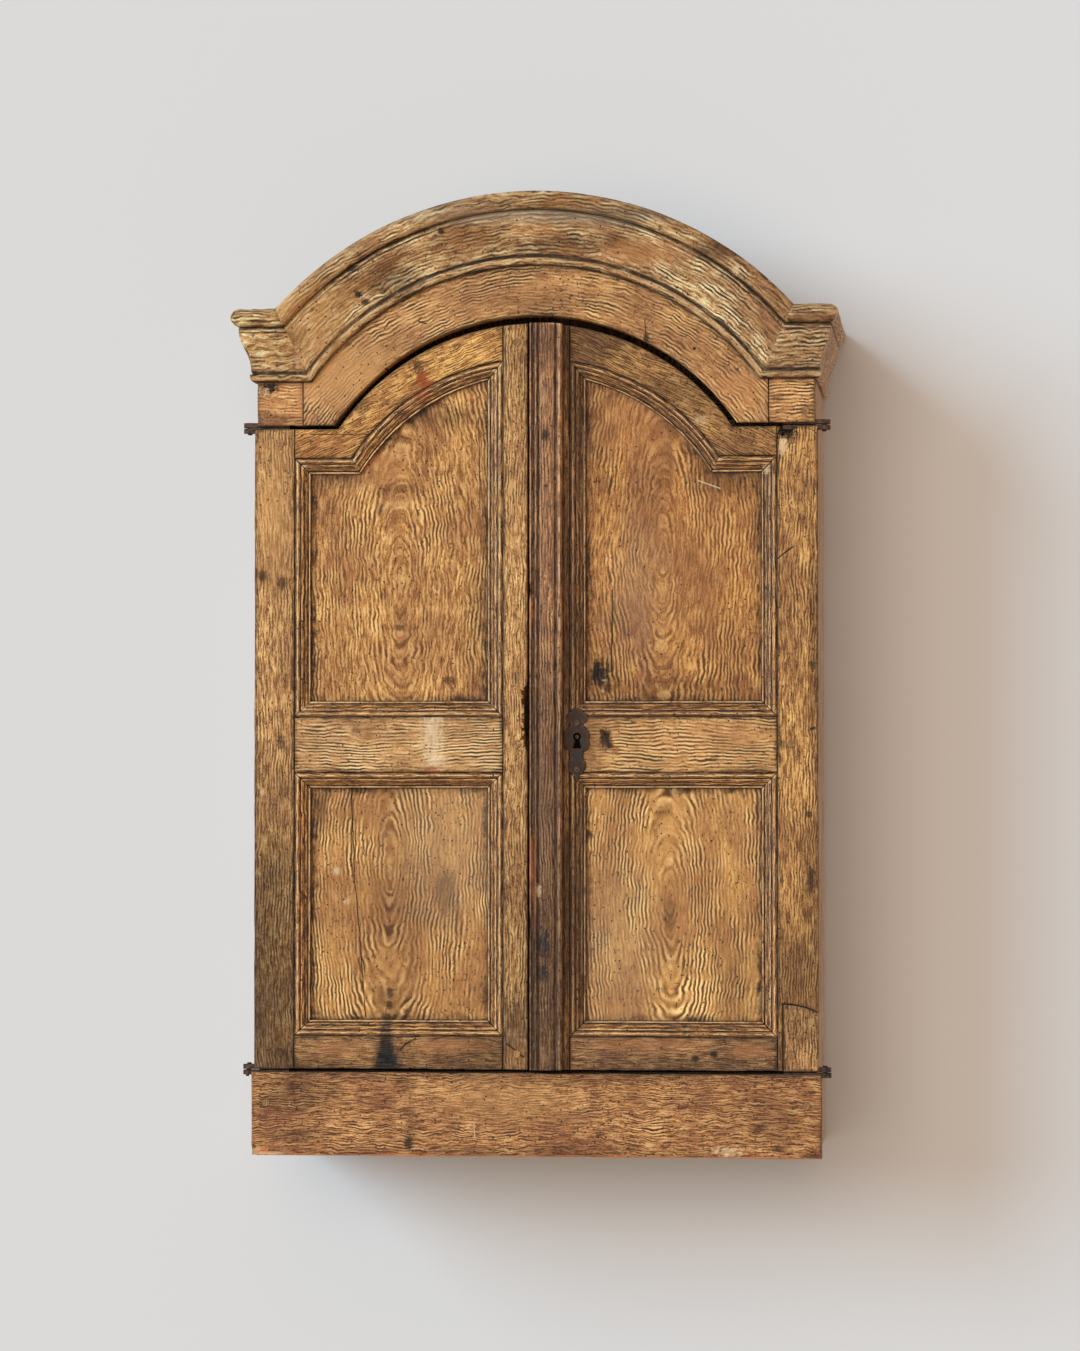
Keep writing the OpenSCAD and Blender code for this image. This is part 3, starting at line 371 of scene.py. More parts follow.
def make_oak_figure() -> Effect:
    """The rippled year rings of old oak, with its flecks, brown patches and broad tone.

    Returns:
        The shared group.
    """
    made = Effect("oak_figure", "Ridge Flecks Patches Tone", Across=0.0, Along=0.0, Depth=0.0,
                  HeartAcross=0.0, HeartAlong=0.0, Taper=0.1, Pitch=0.0042, Waves=1.0, Broad=0.5,
                  Seed=0.0)
    w, g = made.wires, made.given

    def grain(source: Value, across: float, along: float, shift: float, detail: float,
              rough: float) -> Value:
        """Noise whose two pitches, per metre or ring, differ across and along the grain."""
        at = w.pack(source * across, g.Seed + shift, g.Along * along)
        return w.noise(at, 1.0, detail, rough)

    ring = w.length(w.pack(g.Across - g.HeartAcross, 0.002, (g.Along - g.HeartAlong) * g.Taper))
    clear = w.step(ring, 0.002, 0.04, 0.45, 1.0)
    bend = (grain(g.Across, 9.0, 5.0, 0.0, 4.0, 0.58) - 0.5) * 0.034
    kink = (grain(g.Across, 24.0, 82.0, 1.0, 1.0, 0.5) - 0.5) * 0.0042
    count = (ring + (bend + kink) * g.Waves + g.Depth * 0.35) / g.Pitch
    zone = w.step(grain(g.Across, 26.0, 12.0, 2.0, 2.0, 0.5), 0.42, 0.62, 0.15, 1.0) * clear
    zone = zone * w.step(grain(count, 0.45, 58.0, 3.0, 1.0, 0.5), 0.36, 0.6, 0.2, 1.0)
    wave = w.math("SINE", count * math.tau) * zone * 0.42 + 0.5
    streak = w.step(grain(count, 1.7, 52.0, 5.0, 2.0, 0.55), 0.3, 0.7)
    pores = w.step(grain(g.Across, 760.0, 300.0, 7.0, 2.0, 0.6), 0.3, 0.7)
    streak = streak + (pores - streak) * 0.3
    return made.put_out(
        Ridge=w.step(streak + (wave - streak) * g.Broad, 0.16, 0.84),
        Flecks=w.step(grain(g.Across, 330.0, 120.0, 9.0, 2.0, 0.6), 0.615, 0.69),
        Patches=w.step(grain(g.Across, 80.0, 26.0, 6.0, 5.0, 0.75), 0.46, 0.68),
        Tone=w.step(grain(g.Across, 20.0, 10.0, 4.0, 5.0, 0.7), 0.36, 0.64))


def make_blot() -> Effect:
    """A ragged oval patch around a place.

    Returns:
        The shared group.
    """
    made = Effect("blot", "Mask", Position=ORIGIN, Centre=ORIGIN, Shrink=(100.0, 0.0, 100.0),
                  Soft=0.4, Ragged=0.5)
    w, g = made.wires, made.given
    apart = w.vector("MULTIPLY", w.vector("SUBTRACT", g.Position, g.Centre), g.Shrink)
    reach = w.length(apart) + (w.noise(apart, 2.3, 3.0, 0.6) - 0.5) * (g.Ragged * 2.0)
    oval = w.step(reach, 1.0 - g.Soft, w.math("ADD", 1.0, g.Soft), 1.0, 0.0)
    mottle = w.step(w.noise(g.Position, 170.0, 4.0, 0.7), 0.32, 0.64, 0.62, 1.0)
    return made.put_out(Mask=oval * (1.0 - (1.0 - mottle) * g.Soft))


def make_split() -> Effect:
    """A wandering thin line between two places.

    Returns:
        The shared group.
    """
    made = Effect("split", "Mask", Position=ORIGIN, Start=ORIGIN, End=(0.0, 0.0, 1.0),
                  Width=0.0008, Wander=0.002)
    w, g = made.wires, made.given
    reach = w.flat(w.vector("SUBTRACT", g.Position, g.Start))
    run = w.flat(w.vector("SUBTRACT", g.End, g.Start))
    share = w.math("DIVIDE", w.dot(reach, run), w.dot(run, run), clamp=True)
    shake = w.vector("SUBTRACT", w.noise(g.Position, 70.0, 3.0, output=1), (0.5, 0.5, 0.5))
    off = w.vector("ADD", w.vector("SUBTRACT", reach, w.scaled(run, share)),
                   w.scaled(shake, g.Wander))
    return made.put_out(Mask=w.step(w.length(w.flat(off)), g.Width * 0.3, g.Width, 1.0, 0.0))


def make_grime_and_shade() -> Effect:
    """Old dirt and painted shade in corners, quirks and open joints, darkest where the ambient
    occlusion closes in, with specks of dirt here and there.

    Returns:
        The shared group.
    """
    made = Effect("grime", "Mask", Position=ORIGIN, Reach=0.006, Amount=1.0)
    w, g = made.wires, made.given
    # Ambient occlusion paints shade into corners and hollows; the specks below are dirt.
    open_sky = w.out("AmbientOcclusion", {"Distance": g.Reach}, "AO", samples=6)
    closed = w.step(open_sky, 0.9, 0.4).top(w.step(w.carried("hollow"), 0.3, 1.1))
    closed = closed * w.step(w.noise(g.Position, 38.0, 3.0, 0.6), 0.25, 0.55, 0.45, 1.0)
    specks = w.step(w.noise(g.Position, 330.0, 2.0), 0.62, 0.68)
    spread = w.step(w.noise(g.Position, 24.0, 3.0, 0.6), 0.4, 0.65, 0.2, 0.85)
    return made.put_out(Mask=w.clamped(closed.top(specks * spread), g.Amount))


def make_edge_dirt_and_shade() -> Effect:
    """Dirt and painted shade in a band in from the outline, such as on a panel beside its moulding
    or on the frieze under the cornice, and the dark joint itself.

    Returns:
        The shared group.
    """
    made = Effect("edge_dirt", "Mask", Position=ORIGIN, Start=0.0, Reach=0.005, Amount=0.7)
    w, g = made.wires, made.given
    inset = w.carried("inset") - g.Start
    shake = w.noise(g.Position, 95.0, 4.0, 0.65) - 0.5
    # The soft band is dirt and painted shade; the joint line is the dark joint itself.
    soft = w.step(inset + shake * (g.Reach * 2.4), 0.0, g.Reach, 0.95, 0.0)
    soft = soft * w.step(w.noise(g.Position, 17.0, 3.0, 0.6), 0.34, 0.62, 0.3, 1.0)
    joint = w.step(inset + shake * 0.0016, 0.0004, 0.0015, 0.9, 0.0)
    inward = w.math("GREATER_THAN", inset, -0.003)
    return made.put_out(Mask=w.clamped(soft.top(joint) * inward, g.Amount))


def make_quirk() -> Effect:
    """A line along a moulding at a distance in from its outline, broken here and there.

    Returns:
        The shared group.
    """
    made = Effect("quirk", "Mask", Position=ORIGIN, At=0.0, Width=0.001, Whole=0.6)
    w, g = made.wires, made.given
    shake = w.noise(g.Position, 80.0, 3.0, 0.6) - 0.5
    off = w.math("ABSOLUTE", w.carried("inset") - g.At + shake * 0.0012)
    patchy = w.step(w.noise(g.Position, 60.0, 3.0, 0.65), 0.4, 0.58, g.Whole, 1.0)
    return made.put_out(Mask=w.step(off, g.Width * 0.35, g.Width, 1.0, 0.0) * patchy)


def make_wear() -> Effect:
    """Rubbed edges, from the wear that the mesh carries.

    Returns:
        The shared group.
    """
    made = Effect("wear", "Mask", Position=ORIGIN, Amount=1.0)
    w, g = made.wires, made.given
    rubbed = w.step(w.carried("worn"), 0.3, 0.95)
    patchy = w.step(w.noise(g.Position, 55.0, 4.0, 0.65), 0.38, 0.6)
    return made.put_out(Mask=w.clamped(rubbed * patchy, g.Amount))


def make_worm_holes() -> Effect:
    """Small round holes in clusters, bored from front to back.

    Returns:
        The shared group.
    """
    made = Effect("worm_holes", "Mask", Position=ORIGIN, Density=0.4, Radius=0.001)
    w, g = made.wires, made.given
    per_metre = 110.0
    place = w.parts(g.Position)
    links = {"Vector": w.pack(place.X, place.Z, 0.0), "Scale": per_metre, "Randomness": 1.0}
    cells = w.outs(w.add("TexVoronoi", links, voronoi_dimensions="2D"))
    limit = w.step(w.noise(g.Position, 13.0, 2.0), 0.36, 0.66, 0.03, 0.36) * g.Density
    edge = g.Radius * per_metre
    hole = w.step(cells.Distance, edge * 0.6, edge, 1.0, 0.0)
    return made.put_out(Mask=hole * w.math("LESS_THAN", w.parts(cells.Color).X, limit))


def make_rust() -> Effect:
    """Blooms of rust, pits and the rubbed high spots of forged iron.

    Returns:
        The shared group.
    """
    made = Effect("rust", "Bloom Pits Rub", Position=ORIGIN, Seed=0.0)
    w, g = made.wires, made.given
    at = w.vector("ADD", g.Position, w.pack(g.Seed, g.Seed, 0.0))
    return made.put_out(Bloom=w.step(w.noise(at, 120.0, 5.0, 0.65), 0.4, 0.62),
                        Pits=w.step(w.noise(at, 520.0, 3.0, 0.6), 0.42, 0.62),
                        Rub=w.carried("worn") * w.step(w.noise(at, 240.0, 2.0), 0.4, 0.6))


BOARD_AXES = make_board_axes()
ARCH_AXES = make_arch_axes()
OAK_FIGURE = make_oak_figure()
BLOT = make_blot()
SPLIT = make_split()
GRIME_AND_SHADE = make_grime_and_shade()
EDGE_DIRT_AND_SHADE = make_edge_dirt_and_shade()
QUIRK = make_quirk()
WEAR = make_wear()
WORM_HOLES = make_worm_holes()
RUST = make_rust()


class Run(Enum):
    """Which way a board's grain runs, as its ways across, along and into the board."""

    UPRIGHT = ((1, 0, 0), (0, 0, 1), (0, 1, 0))
    UPRIGHT_SIDE = ((0, 1, 0), (0, 0, 1), (1, 0, 0))
    LEVEL = ((0, 0, 1), (1, 0, 0), (0, 1, 0))
    LEVEL_FLAT = ((0, 1, 0), (1, 0, 0), (0, 0, 1))
    LEVEL_SIDE = ((0, 0, 1), (0, 1, 0), (1, 0, 0))
    DEEP = ((1, 0, 0), (0, 1, 0), (0, 0, 1))
    LEFT_ARM = ((-0.42, 0, 0.907), (0.907, 0, 0.42), (0, 1, 0))
    RIGHT_ARM = ((0.42, 0, 0.907), (0.907, 0, -0.42), (0, 1, 0))
    ARCH = ()

    def axes(self, wires: Wiring, position: Value, centre: Vector) -> SimpleNamespace:
        """Grain distances of a board.

        Args:
            wires: the material's wiring.
            position: the place on the piece.
            centre: the arch's centre, for a board that follows an arch.

        Returns:
            Values named Across, Along and Depth.
        """
        if self is Run.ARCH:
            return ARCH_AXES.use(wires, Position=position, Centre=centre)
        across, along, depth = self.value
        return BOARD_AXES.use(wires, Position=position, AcrossWay=across, AlongWay=along,
                              DepthWay=depth)

    def heart(self, centre: Vector, at: Pair) -> Pair:
        """Where the tree's heart lies on a board.

        Args:
            centre: the arch's centre.
            at: the heart, in millimetres right of the middle and above the underside.

        Returns:
            Its distances across and along the grain, in metres.
        """
        place = spot(*at)
        if self is Run.ARCH:
            apart = place - centre
            return math.hypot(apart.x, apart.z), ARCH_REACH * math.atan2(apart.x, apart.z)
        across, along, _ = self.value
        return place.dot(Vector(across)), place.dot(Vector(along))


class Trace(Enum):
    """What a mark is, as colour, strength, softness, raggedness and depth in millimetres."""

    SOOT = (linear(20, 16, 13), 1.0, 0.5, 0.6, 0.0)
    SCORCH = (linear(146, 70, 32), 0.95, 0.4, 1.0, 0.1)
    BLEACH = (linear(240, 214, 172), 0.75, 1.0, 2.2, 0.0)
    KNOT = (linear(48, 29, 16), 0.95, 0.45, 0.8, 0.35)
    GNARL = (linear(20, 11, 6), 1.0, 0.35, 1.6, 0.8)
    STAIN = (linear(60, 39, 22), 0.74, 0.8, 1.1, 0.0)
    GREY = (linear(158, 138, 112), 0.5, 0.8, 0.8, 0.0)
    BARE = (linear(206, 140, 86), 0.7, 0.5, 1.0, 0.15)
    GOLD = (linear(226, 172, 106), 0.55, 0.9, 0.9, 0.0)
    FRESH = (linear(232, 142, 82), 0.85, 0.5, 2.2, 0.15)
    HOLE = (linear(22, 14, 9), 0.97, 0.25, 0.25, 1.2)
    CHIP = (linear(232, 198, 152), 0.75, 0.3, 1.8, 0.3)
    SPLIT = (linear(26, 16, 9), 0.95, 0.0, 0.0, 1.0)
    SCRATCH = (linear(222, 200, 168), 0.7, 0.0, 0.0, 0.15)

    def __call__(self, x: float, height: float, wide: float, tall: float, strength: float = 1.0,
                 width: float = 0.8) -> "Mark":
        """A mark at a place, of two radii, or a line from there to (wide, tall)."""
        return Mark(self, (x, height), (wide, tall), strength, width)


WANDERS = {Trace.SPLIT: 2.5, Trace.SCRATCH: 0.8}


@dataclass(frozen=True)
class Mark:
    """A mark on the wood.

    Its place is in millimetres right of the middle and above the underside. For a line, over
    holds the far end instead of the two radii.
    """

    trace: Trace
    at: Pair
    over: Pair
    strength: float
    width: float

    def mask(self, wires: Wiring, position: Value) -> Value:
        """Where the mark lies.

        Args:
            wires: the material's wiring.
            position: the place on the piece.

        Returns:
            A share from 0 to 1.
        """
        if self.trace in WANDERS:
            return SPLIT.use(wires, Position=position, Start=spot(*self.at), End=spot(*self.over),
                             Width=self.width * MM, Wander=WANDERS[self.trace] * MM).Mask
        _, _, soft, ragged, _ = self.trace.value
        shrink = (1 / (self.over[0] * MM), 0.0, 1 / (self.over[1] * MM))
        return BLOT.use(wires, Position=wires.flat(position), Centre=spot(*self.at, y=0.0),
                        Shrink=shrink, Soft=soft, Ragged=ragged).Mask


def new_material(name: str) -> tuple[bpy.types.Material, Wiring]:
    """An empty material.

    Args:
        name: its name.

    Returns:
        The material and its wiring.
    """
    material = bpy.data.materials.new(name)
    material.use_nodes = True
    return material, Wiring(material.node_tree)


def wear_material(piece: bpy.types.Object, material: bpy.types.Material) -> None:
    """Puts one material on the whole piece."""
    piece.data.materials.clear()
    piece.data.materials.append(material)


@dataclass(frozen=True)
class OakFinish:
    """Waxed and rubbed old oak of one shade. Lengths are in millimetres.

    Quirks and crests are the dark and light lines of a moulding, each as its distance in from
    the outline and its width: dirt and painted shade in the quirks, rubbed wear and a painted
    highlight on the crests. The edge is where the dirt and painted shade start, how far they
    reach and how much.
    """

    name: str
    groove: Paint
    body: Paint
    ridge: Paint
    aged: Paint
    # The colour of worn wood, also used for the painted highlight along the crests.
    rubbed: Paint = (206, 164, 112)
    # One colour for dirt and for the painted shade in corners, quirks and bands along edges.
    dirt: Paint = (40, 27, 18)
    patch: Paint = (168, 146, 112)
    pitch: float = 4.2
    waves: float = 1.0
    broad: float = 0.6
    relief: float = 0.35
    age: float = 0.6
    grime: float = 1.0
    grime_reach: float = 6.0
    wear: float = 0.8
    worms: float = 0.35
    edge: Triple = (0.0, 5.0, 0.8)
    quirks: tuple[Pair, ...] = ()
    crests: tuple[Pair, ...] = ()
    dull: Pair = (0.78, 0.46)
    fleck_depth: float = 0.2
    worm_depth: float = 0.6
    veil: float = 0.22
    patchy: float = 0.5
    flecked: float = 0.85
    quirk_dirt: float = 0.92
    dirt_dull: float = 0.3
    bend: float = 1.45

    def shaded(self, red: float, green: float, blue: float) -> "OakFinish":
        """The same finish, darker or lighter.

        Args:
            red: share of red light that is left.
            green: share of green light.
            blue: share of blue light.

        Returns:
            The new finish.
        """
        shares = [share ** (1 / 2.4) for share in (red, green, blue)]
        tints = {name: tuple(min(255, c * s) for c, s in zip(getattr(self, name), shares))
                 for name in ("groove", "body", "ridge", "aged", "rubbed")}
        return replace(self, **tints)

    def wood(self, w: Wiring, oak: SimpleNamespace) -> Value:
        """The colour of the bare grain.

        Args:
            w: the material's wiring.
            oak: the figure of the wood.

        Returns:
            The colour.
        """
        ramp = w.add("ValToRGB", {0: oak.Ridge})
        stops = ramp.color_ramp.elements
        stops[0].position, stops[0].color = 0.1, linear(*self.groove)
        stops[1].position, stops[1].color = 0.9, linear(*self.ridge)
        stops.new(0.5).color = linear(*self.body)
        old, aged = oak.Tone * self.age, linear(*self.aged)
        colour = w.blend(old, Value(w, ramp.outputs[0]), aged, "MULTIPLY")
        colour = w.blend(old * self.veil, colour, aged)
        patches = oak.Patches * (self.patchy * self.age)
        colour = w.blend(patches, colour, linear(*self.patch), "MULTIPLY")
        return w.blend(oak.Flecks * self.flecked, colour, linear(*self.dirt))

    def worn_and_dirty(self, w: Wiring, position: Value) -> tuple[Value, Value]:
        """Where the wood is rubbed or carries a painted highlight, and where dirt and painted
        shade lie on it.

        Args:
            w: the material's wiring.
            position: the place on the piece.

        Returns:
            The share of rubbed and highlit wood, and the share of dirt and painted shade.
        """
        rubbed = WEAR.use(w, Position=position, Amount=self.wear).Mask
        # Crest lines: rubbed wear and a painted highlight along the ridges.
        for at, width in self.crests:
            highlit_rubbed_crest = QUIRK.use(w, Position=position, At=at * MM, Width=width * MM, Whole=0.0).Mask
            rubbed = rubbed.top(highlit_rubbed_crest * self.wear)
        dirt = GRIME_AND_SHADE.use(w, Position=position, Reach=self.grime_reach * MM, Amount=self.grime).Mask
        start, reach, amount = self.edge
        if amount:
            dirt = dirt.top(EDGE_DIRT_AND_SHADE.use(w, Position=position, Start=start * MM,
                                          Reach=reach * MM, Amount=amount).Mask)
        # Quirk lines: dirt and painted shade in the grooves.
        for at, width in self.quirks:
            quirk = QUIRK.use(w, Position=position, At=at * MM, Width=width * MM, Whole=0.7).Mask
            dirt = dirt.top(quirk * self.quirk_dirt)
        return rubbed, dirt

    def dress(self, piece: bpy.types.Object, *grain: object) -> None:
        """Makes the piece's own material, from the arguments of material(), and puts it on."""
        wear_material(piece, self.material(piece.name, *grain))

    def material(self, name: str, run: Run, heart: Pair, taper: float, seed: int,
                 marks: tuple[Mark, ...] = (), centre: Vector = Vector()) -> bpy.types.Material:
        """Makes the finish for one board.

        Args:
            name: the piece's name.
            run: the way of the grain.
            heart: the tree's heart, in millimetres across and up.
            taper: how fast the rings close above and below the heart, 0 for straight grain.
            seed: chooses another board from the tree.
            marks: stains, knots and cracks.
            centre: the arch's centre.

        Returns:
            The material.
        """
        material, w = new_material(f"{self.name}_{name}")
        position = w.place()
        across, along = run.heart(centre, heart)
        oak = OAK_FIGURE.use(w, **vars(run.axes(w, position, centre)), HeartAcross=across,
                             HeartAlong=along, Taper=taper, Pitch=self.pitch * MM,
                             Waves=self.waves, Broad=self.broad, Seed=float(seed))
        rubbed, dirt = self.worn_and_dirty(w, position)
        # Rubbed wear and the painted crest highlights lighten the colour.
        colour = w.blend(rubbed, self.wood(w, oak), linear(*self.rubbed))
        # Dirt and painted shade darken the colour.
        colour = w.blend(dirt, colour, linear(*self.dirt))
        height = oak.Ridge * (self.relief * MM) - oak.Flecks * (self.fleck_depth * MM)
        worms = WORM_HOLES.use(w, Position=position, Density=self.worms).Mask
        height = height - worms * (self.worm_depth * MM)
        for mark in marks:
            tint, strength, _, _, depth = mark.trace.value
            mask = mark.mask(w, position) * (strength * mark.strength)
            colour = w.blend(mask, colour, tint)
            if depth:
                height = height - mask * (depth * MM)
            dirt = dirt.top(mask)
        colour = w.blend(worms, colour, Trace.HOLE.value[0])
        rough = w.step(oak.Ridge, 0.1, 0.9, *self.dull) + dirt * self.dirt_dull
        return w.finished(material, colour, height, rough, IOR=self.bend)


@dataclass(frozen=True)
class IronFinish:
    """Forged iron, browned and pitted. Lengths are in millimetres."""

    name: str = "wrought_iron"
    dark: Paint = (24, 15, 9)
    brown: Paint = (60, 35, 20)
    rubbed: Paint = (110, 74, 48)
    dirt: Paint = (24, 18, 15)
    grime: float = 0.8
    grime_reach: float = 3.0
    pit_depth: float = 0.18
    rub: float = 0.7
    dull: Pair = (0.62, 0.92)
    bright: Pair = (0.3, 0.0)

    def dress(self, piece: bpy.types.Object, seed: int = 0) -> None:
        """Makes the piece's own material and gives it to the piece.

        Args:
            piece: the mesh object.
            seed: chooses another pattern of rust.
        """
        material, w = new_material(f"{self.name}_{piece.name}")
        position = w.place()
        rust = RUST.use(w, Position=position, Seed=float(seed))
        colour = w.blend(rust.Bloom, linear(*self.dark), linear(*self.brown))
        colour = w.blend(rust.Rub * self.rub, colour, linear(*self.rubbed))
        # Ambient occlusion paints shade, with dirt, into the iron's corners.
        dirt = GRIME_AND_SHADE.use(w, Position=position, Reach=self.grime_reach * MM, Amount=self.grime).Mask
        colour = w.blend(dirt, colour, linear(*self.dirt))
        rough = w.step(rust.Bloom, 0.0, 1.0, *self.dull)
        metal = w.step(rust.Bloom, 0.0, 1.0, *self.bright)
        wear_material(piece, w.finished(material, colour, rust.Pits * (-self.pit_depth * MM),
                                        rough, Metallic=metal))


CLEAN = (0.0, 0.0, 0.0)
# The panel's edge band, from 24.8 mm in, paints dirt and shade on the panel along its moulding.
PANEL_OAK = OakFinish("panel_oak", (104, 62, 26), (206, 144, 76), (255, 208, 136), (172, 128, 80),
                      pitch=3.9, broad=0.66, age=0.7, grime_reach=9.0, worms=0.4,
                      edge=(24.8, 10.0, 1.0))
FRAME_OAK = OakFinish("frame_oak", (94, 60, 28), (200, 144, 80), (250, 204, 132), (162, 124, 80),
                      pitch=3.1, waves=0.7, broad=0.5, age=0.7, grime_reach=4.0, worms=0.5)
RAIL_OAK = OakFinish("rail_oak", (98, 64, 32), (188, 135, 76), (232, 184, 118), (156, 114, 70),
                     pitch=2.3, waves=0.7, broad=0.35, age=0.8, grime_reach=4.0, worms=0.5)
LEVEL_OAK = OakFinish("level_oak", (72, 43, 19), (212, 156, 92), (255, 222, 160), (166, 128, 84),
                      pitch=3.7, waves=0.8, broad=0.75, grime_reach=4.0, worms=0.4)
FRONT_OAK = OakFinish("front_oak", (66, 36, 15), (208, 145, 81), (255, 212, 142), (174, 128, 84),
                      pitch=3.7, waves=1.1, broad=0.75, age=0.6, grime_reach=8.0, worms=1.0,
                      edge=(0.0, 6.0, 0.62))
APRON_OAK = replace(FRONT_OAK.shaded(0.83, 0.745, 0.67), age=0.8, pitch=2.5, broad=0.42)
# The cornice's quirks are dirt and painted shade in its grooves, the last one the painted shadow
# line under the base bead; its crests are rubbed wear with painted highlights, the first along the
# nose.
CORNICE_OAK = OakFinish("cornice_oak", (46, 28, 14), (214, 164, 102), (255, 246, 196),
                        (168, 128, 84), waves=1.1, broad=0.6, age=1.0, grime_reach=6.0,
                        worms=0.6, quirks=((21.6, 2.2), (26.3, 1.4), (69.5, 3.0), (79.0, 1.4)),
                        crests=((3.0, 2.0), (18.0, 1.6), (74.5, 2.2)), edge=CLEAN, wear=0.65)
# Quirks paint dirt and shade in the grooves of the mouldings and the cover strip; crests paint
# rubbed wear and highlights on their ridges.
MOULDING_OAK = OakFinish("moulding_oak", (48, 28, 13), (160, 108, 58), (240, 184, 116),
                         (134, 96, 58), rubbed=(246, 206, 158), dirt=(20, 12, 7), pitch=2.6,
                         waves=0.6, broad=0.55, relief=0.2, grime_reach=3.0, wear=0.75,
                         quirks=((0.4, 1.3), (6.5, 1.1), (10.6, 0.7), (14.2, 1.2)),
                         crests=((3.4, 0.8), (8.0, 0.5), (15.8, 0.7)), edge=CLEAN,
                         dull=(0.7, 0.38))
STRIP_OAK = OakFinish("strip_oak", (56, 31, 14), (174, 120, 68), (234, 178, 108), (150, 104, 60),
                      rubbed=(216, 168, 128), dirt=(24, 15, 9), pitch=3.2, waves=0.6, age=0.8,
                      grime_reach=3.0, wear=0.8, quirks=((4.5, 1.7), (10.0, 1.2), (28.5, 1.3)),
                      crests=((1.5, 0.8), (7.5, 1.0), (32.6, 1.4)), edge=CLEAN, dull=(0.66, 0.36))
PEG_OAK = OakFinish("peg_oak", (96, 64, 34), (164, 118, 66), (200, 150, 94), (144, 106, 64),
                    pitch=1.6, relief=0.15, grime_reach=1.2, worms=0.0, edge=CLEAN)
SIDE_OAK = OakFinish("case_wood_side", (164, 126, 90), (226, 190, 150), (246, 220, 188),
                     (198, 162, 124), rubbed=(240, 216, 186), dirt=(96, 70, 50), relief=0.2,
                     age=0.7, grime=0.7, worms=0.0, edge=CLEAN, dull=(0.85, 0.7))
INSIDE_OAK = OakFinish("case_wood_inside", (116, 86, 56), (170, 132, 92), (198, 162, 120),
                       (156, 124, 90), dirt=(58, 42, 28), relief=0.2, age=0.7, grime=0.8,
                       grime_reach=14.0, worms=0.0, edge=CLEAN, dull=(0.88, 0.72))
IRON = IronFinish()
PEG_ARRIS = 0.35
PEG_GRAIN = ((0.0, 0.0), 0.2)
IRON_ARRIS = 0.3


def inside(points: np.ndarray, loops: list[Loop]) -> np.ndarray:
    """Which points lie in the wood, by counting crossings of all outlines.

    Args:
        points: places across and up, one per row.
        loops: closed outlines, the holes among them.

    Returns:
        One truth value per point.
    """
    odd = np.zeros(len(points), bool)
    for loop in loops:
        for (x0, z0), (x1, z1) in zip(loop, np.roll(loop, -1, axis=0)):
            if z0 == z1:
                continue
            between = (points[:, 1] > min(z0, z1)) & (points[:, 1] <= max(z0, z1))
            odd ^= between & (points[:, 0] < x0 + (points[:, 1] - z0) * (x1 - x0) / (z1 - z0))
    return odd


def nearest(points: np.ndarray, loops: list[Loop]) -> tuple[np.ndarray, np.ndarray]:
    """How far each point is from the outlines, and where the nearest place on them is.

    Args:
        points: places across and up, one per row.
        loops: closed outlines.

    Returns:
        Distances, and the nearest places.
    """
    best = np.full(len(points), np.inf)
    where = np.zeros_like(points)
    for loop in loops:
        for start, run in zip(loop, np.roll(loop, -1, axis=0) - loop):
            share = np.clip((points - start) @ run / max(run @ run, TINY**2), 0, 1)
            at = start + share[:, None] * run
            far = np.linalg.norm(points - at, axis=1)
            closer = far < best
            best[closer] = far[closer]
            where[closer] = at[closer]
    return best, where


def front_loops(node: str) -> list[Loop]:
    """Outlines of the flat front face of a CAD node, with the wood on their left.

    Args:
        node: the CAD node's name.

    Returns:
        Closed outlines across and up, in metres.
    """
    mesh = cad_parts[node].data
    face_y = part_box(node)[0].y
    seen: dict[Pair, int] = {}
    places: list[Pair] = []
    ids = {}
    for vertex in mesh.vertices:
        if abs(vertex.co.y - face_y) < 2 * SNAP:
            key = (round(vertex.co.x / SNAP), round(vertex.co.z / SNAP))
            if key not in seen:
                seen[key] = len(places)
                places.append((vertex.co.x, vertex.co.z))
            ids[vertex.index] = seen[key]
    edges = set()
    for polygon in mesh.polygons:
        if polygon.normal.y < -0.9 and all(i in ids for i in polygon.vertices):
            ring = [ids[i] for i in polygon.vertices]
            edges.update((a, b) for a, b in zip(ring, ring[1:] + ring[:1]) if a != b)
    following = {a: b for a, b in edges if (b, a) not in edges}
    loops = []
    while following:
        start, at = next(iter(sorted(following.items())))
        ring = [start]
        del following[start]
        while at != start:
            ring.append(at)
            at = following.pop(at)
        loops.append(np.array([places[i] for i in ring]))
    return loops


def even_out(loop: Loop, pitch: float, corner: float = 14.0) -> Loop:
    """Keeps an outline's corners and spaces its other points evenly.

    Args:
        loop: a closed outline.
        pitch: wanted spacing, in metres.
        corner: a turn sharper than this is a corner, in degrees.

    Returns:
        The new outline.
    """
    kept = []
    for i, at in enumerate(loop):
        before, after = at - loop[i - 1], loop[(i + 1) % len(loop)] - at
        turn = abs(math.atan2(before[0] * after[1] - before[1] * after[0], before @ after))
        if (not kept or turn > math.radians(corner)
                or np.linalg.norm(at - kept[-1]) > 0.6 * pitch):
            kept.append(at)
    spaced = []
    for start, end in zip(kept, kept[1:] + kept[:1]):
        parts = max(1, round(float(np.linalg.norm(end - start)) / pitch))
        spaced += [start + (end - start) * i / parts for i in range(parts)]
    return np.array(spaced)


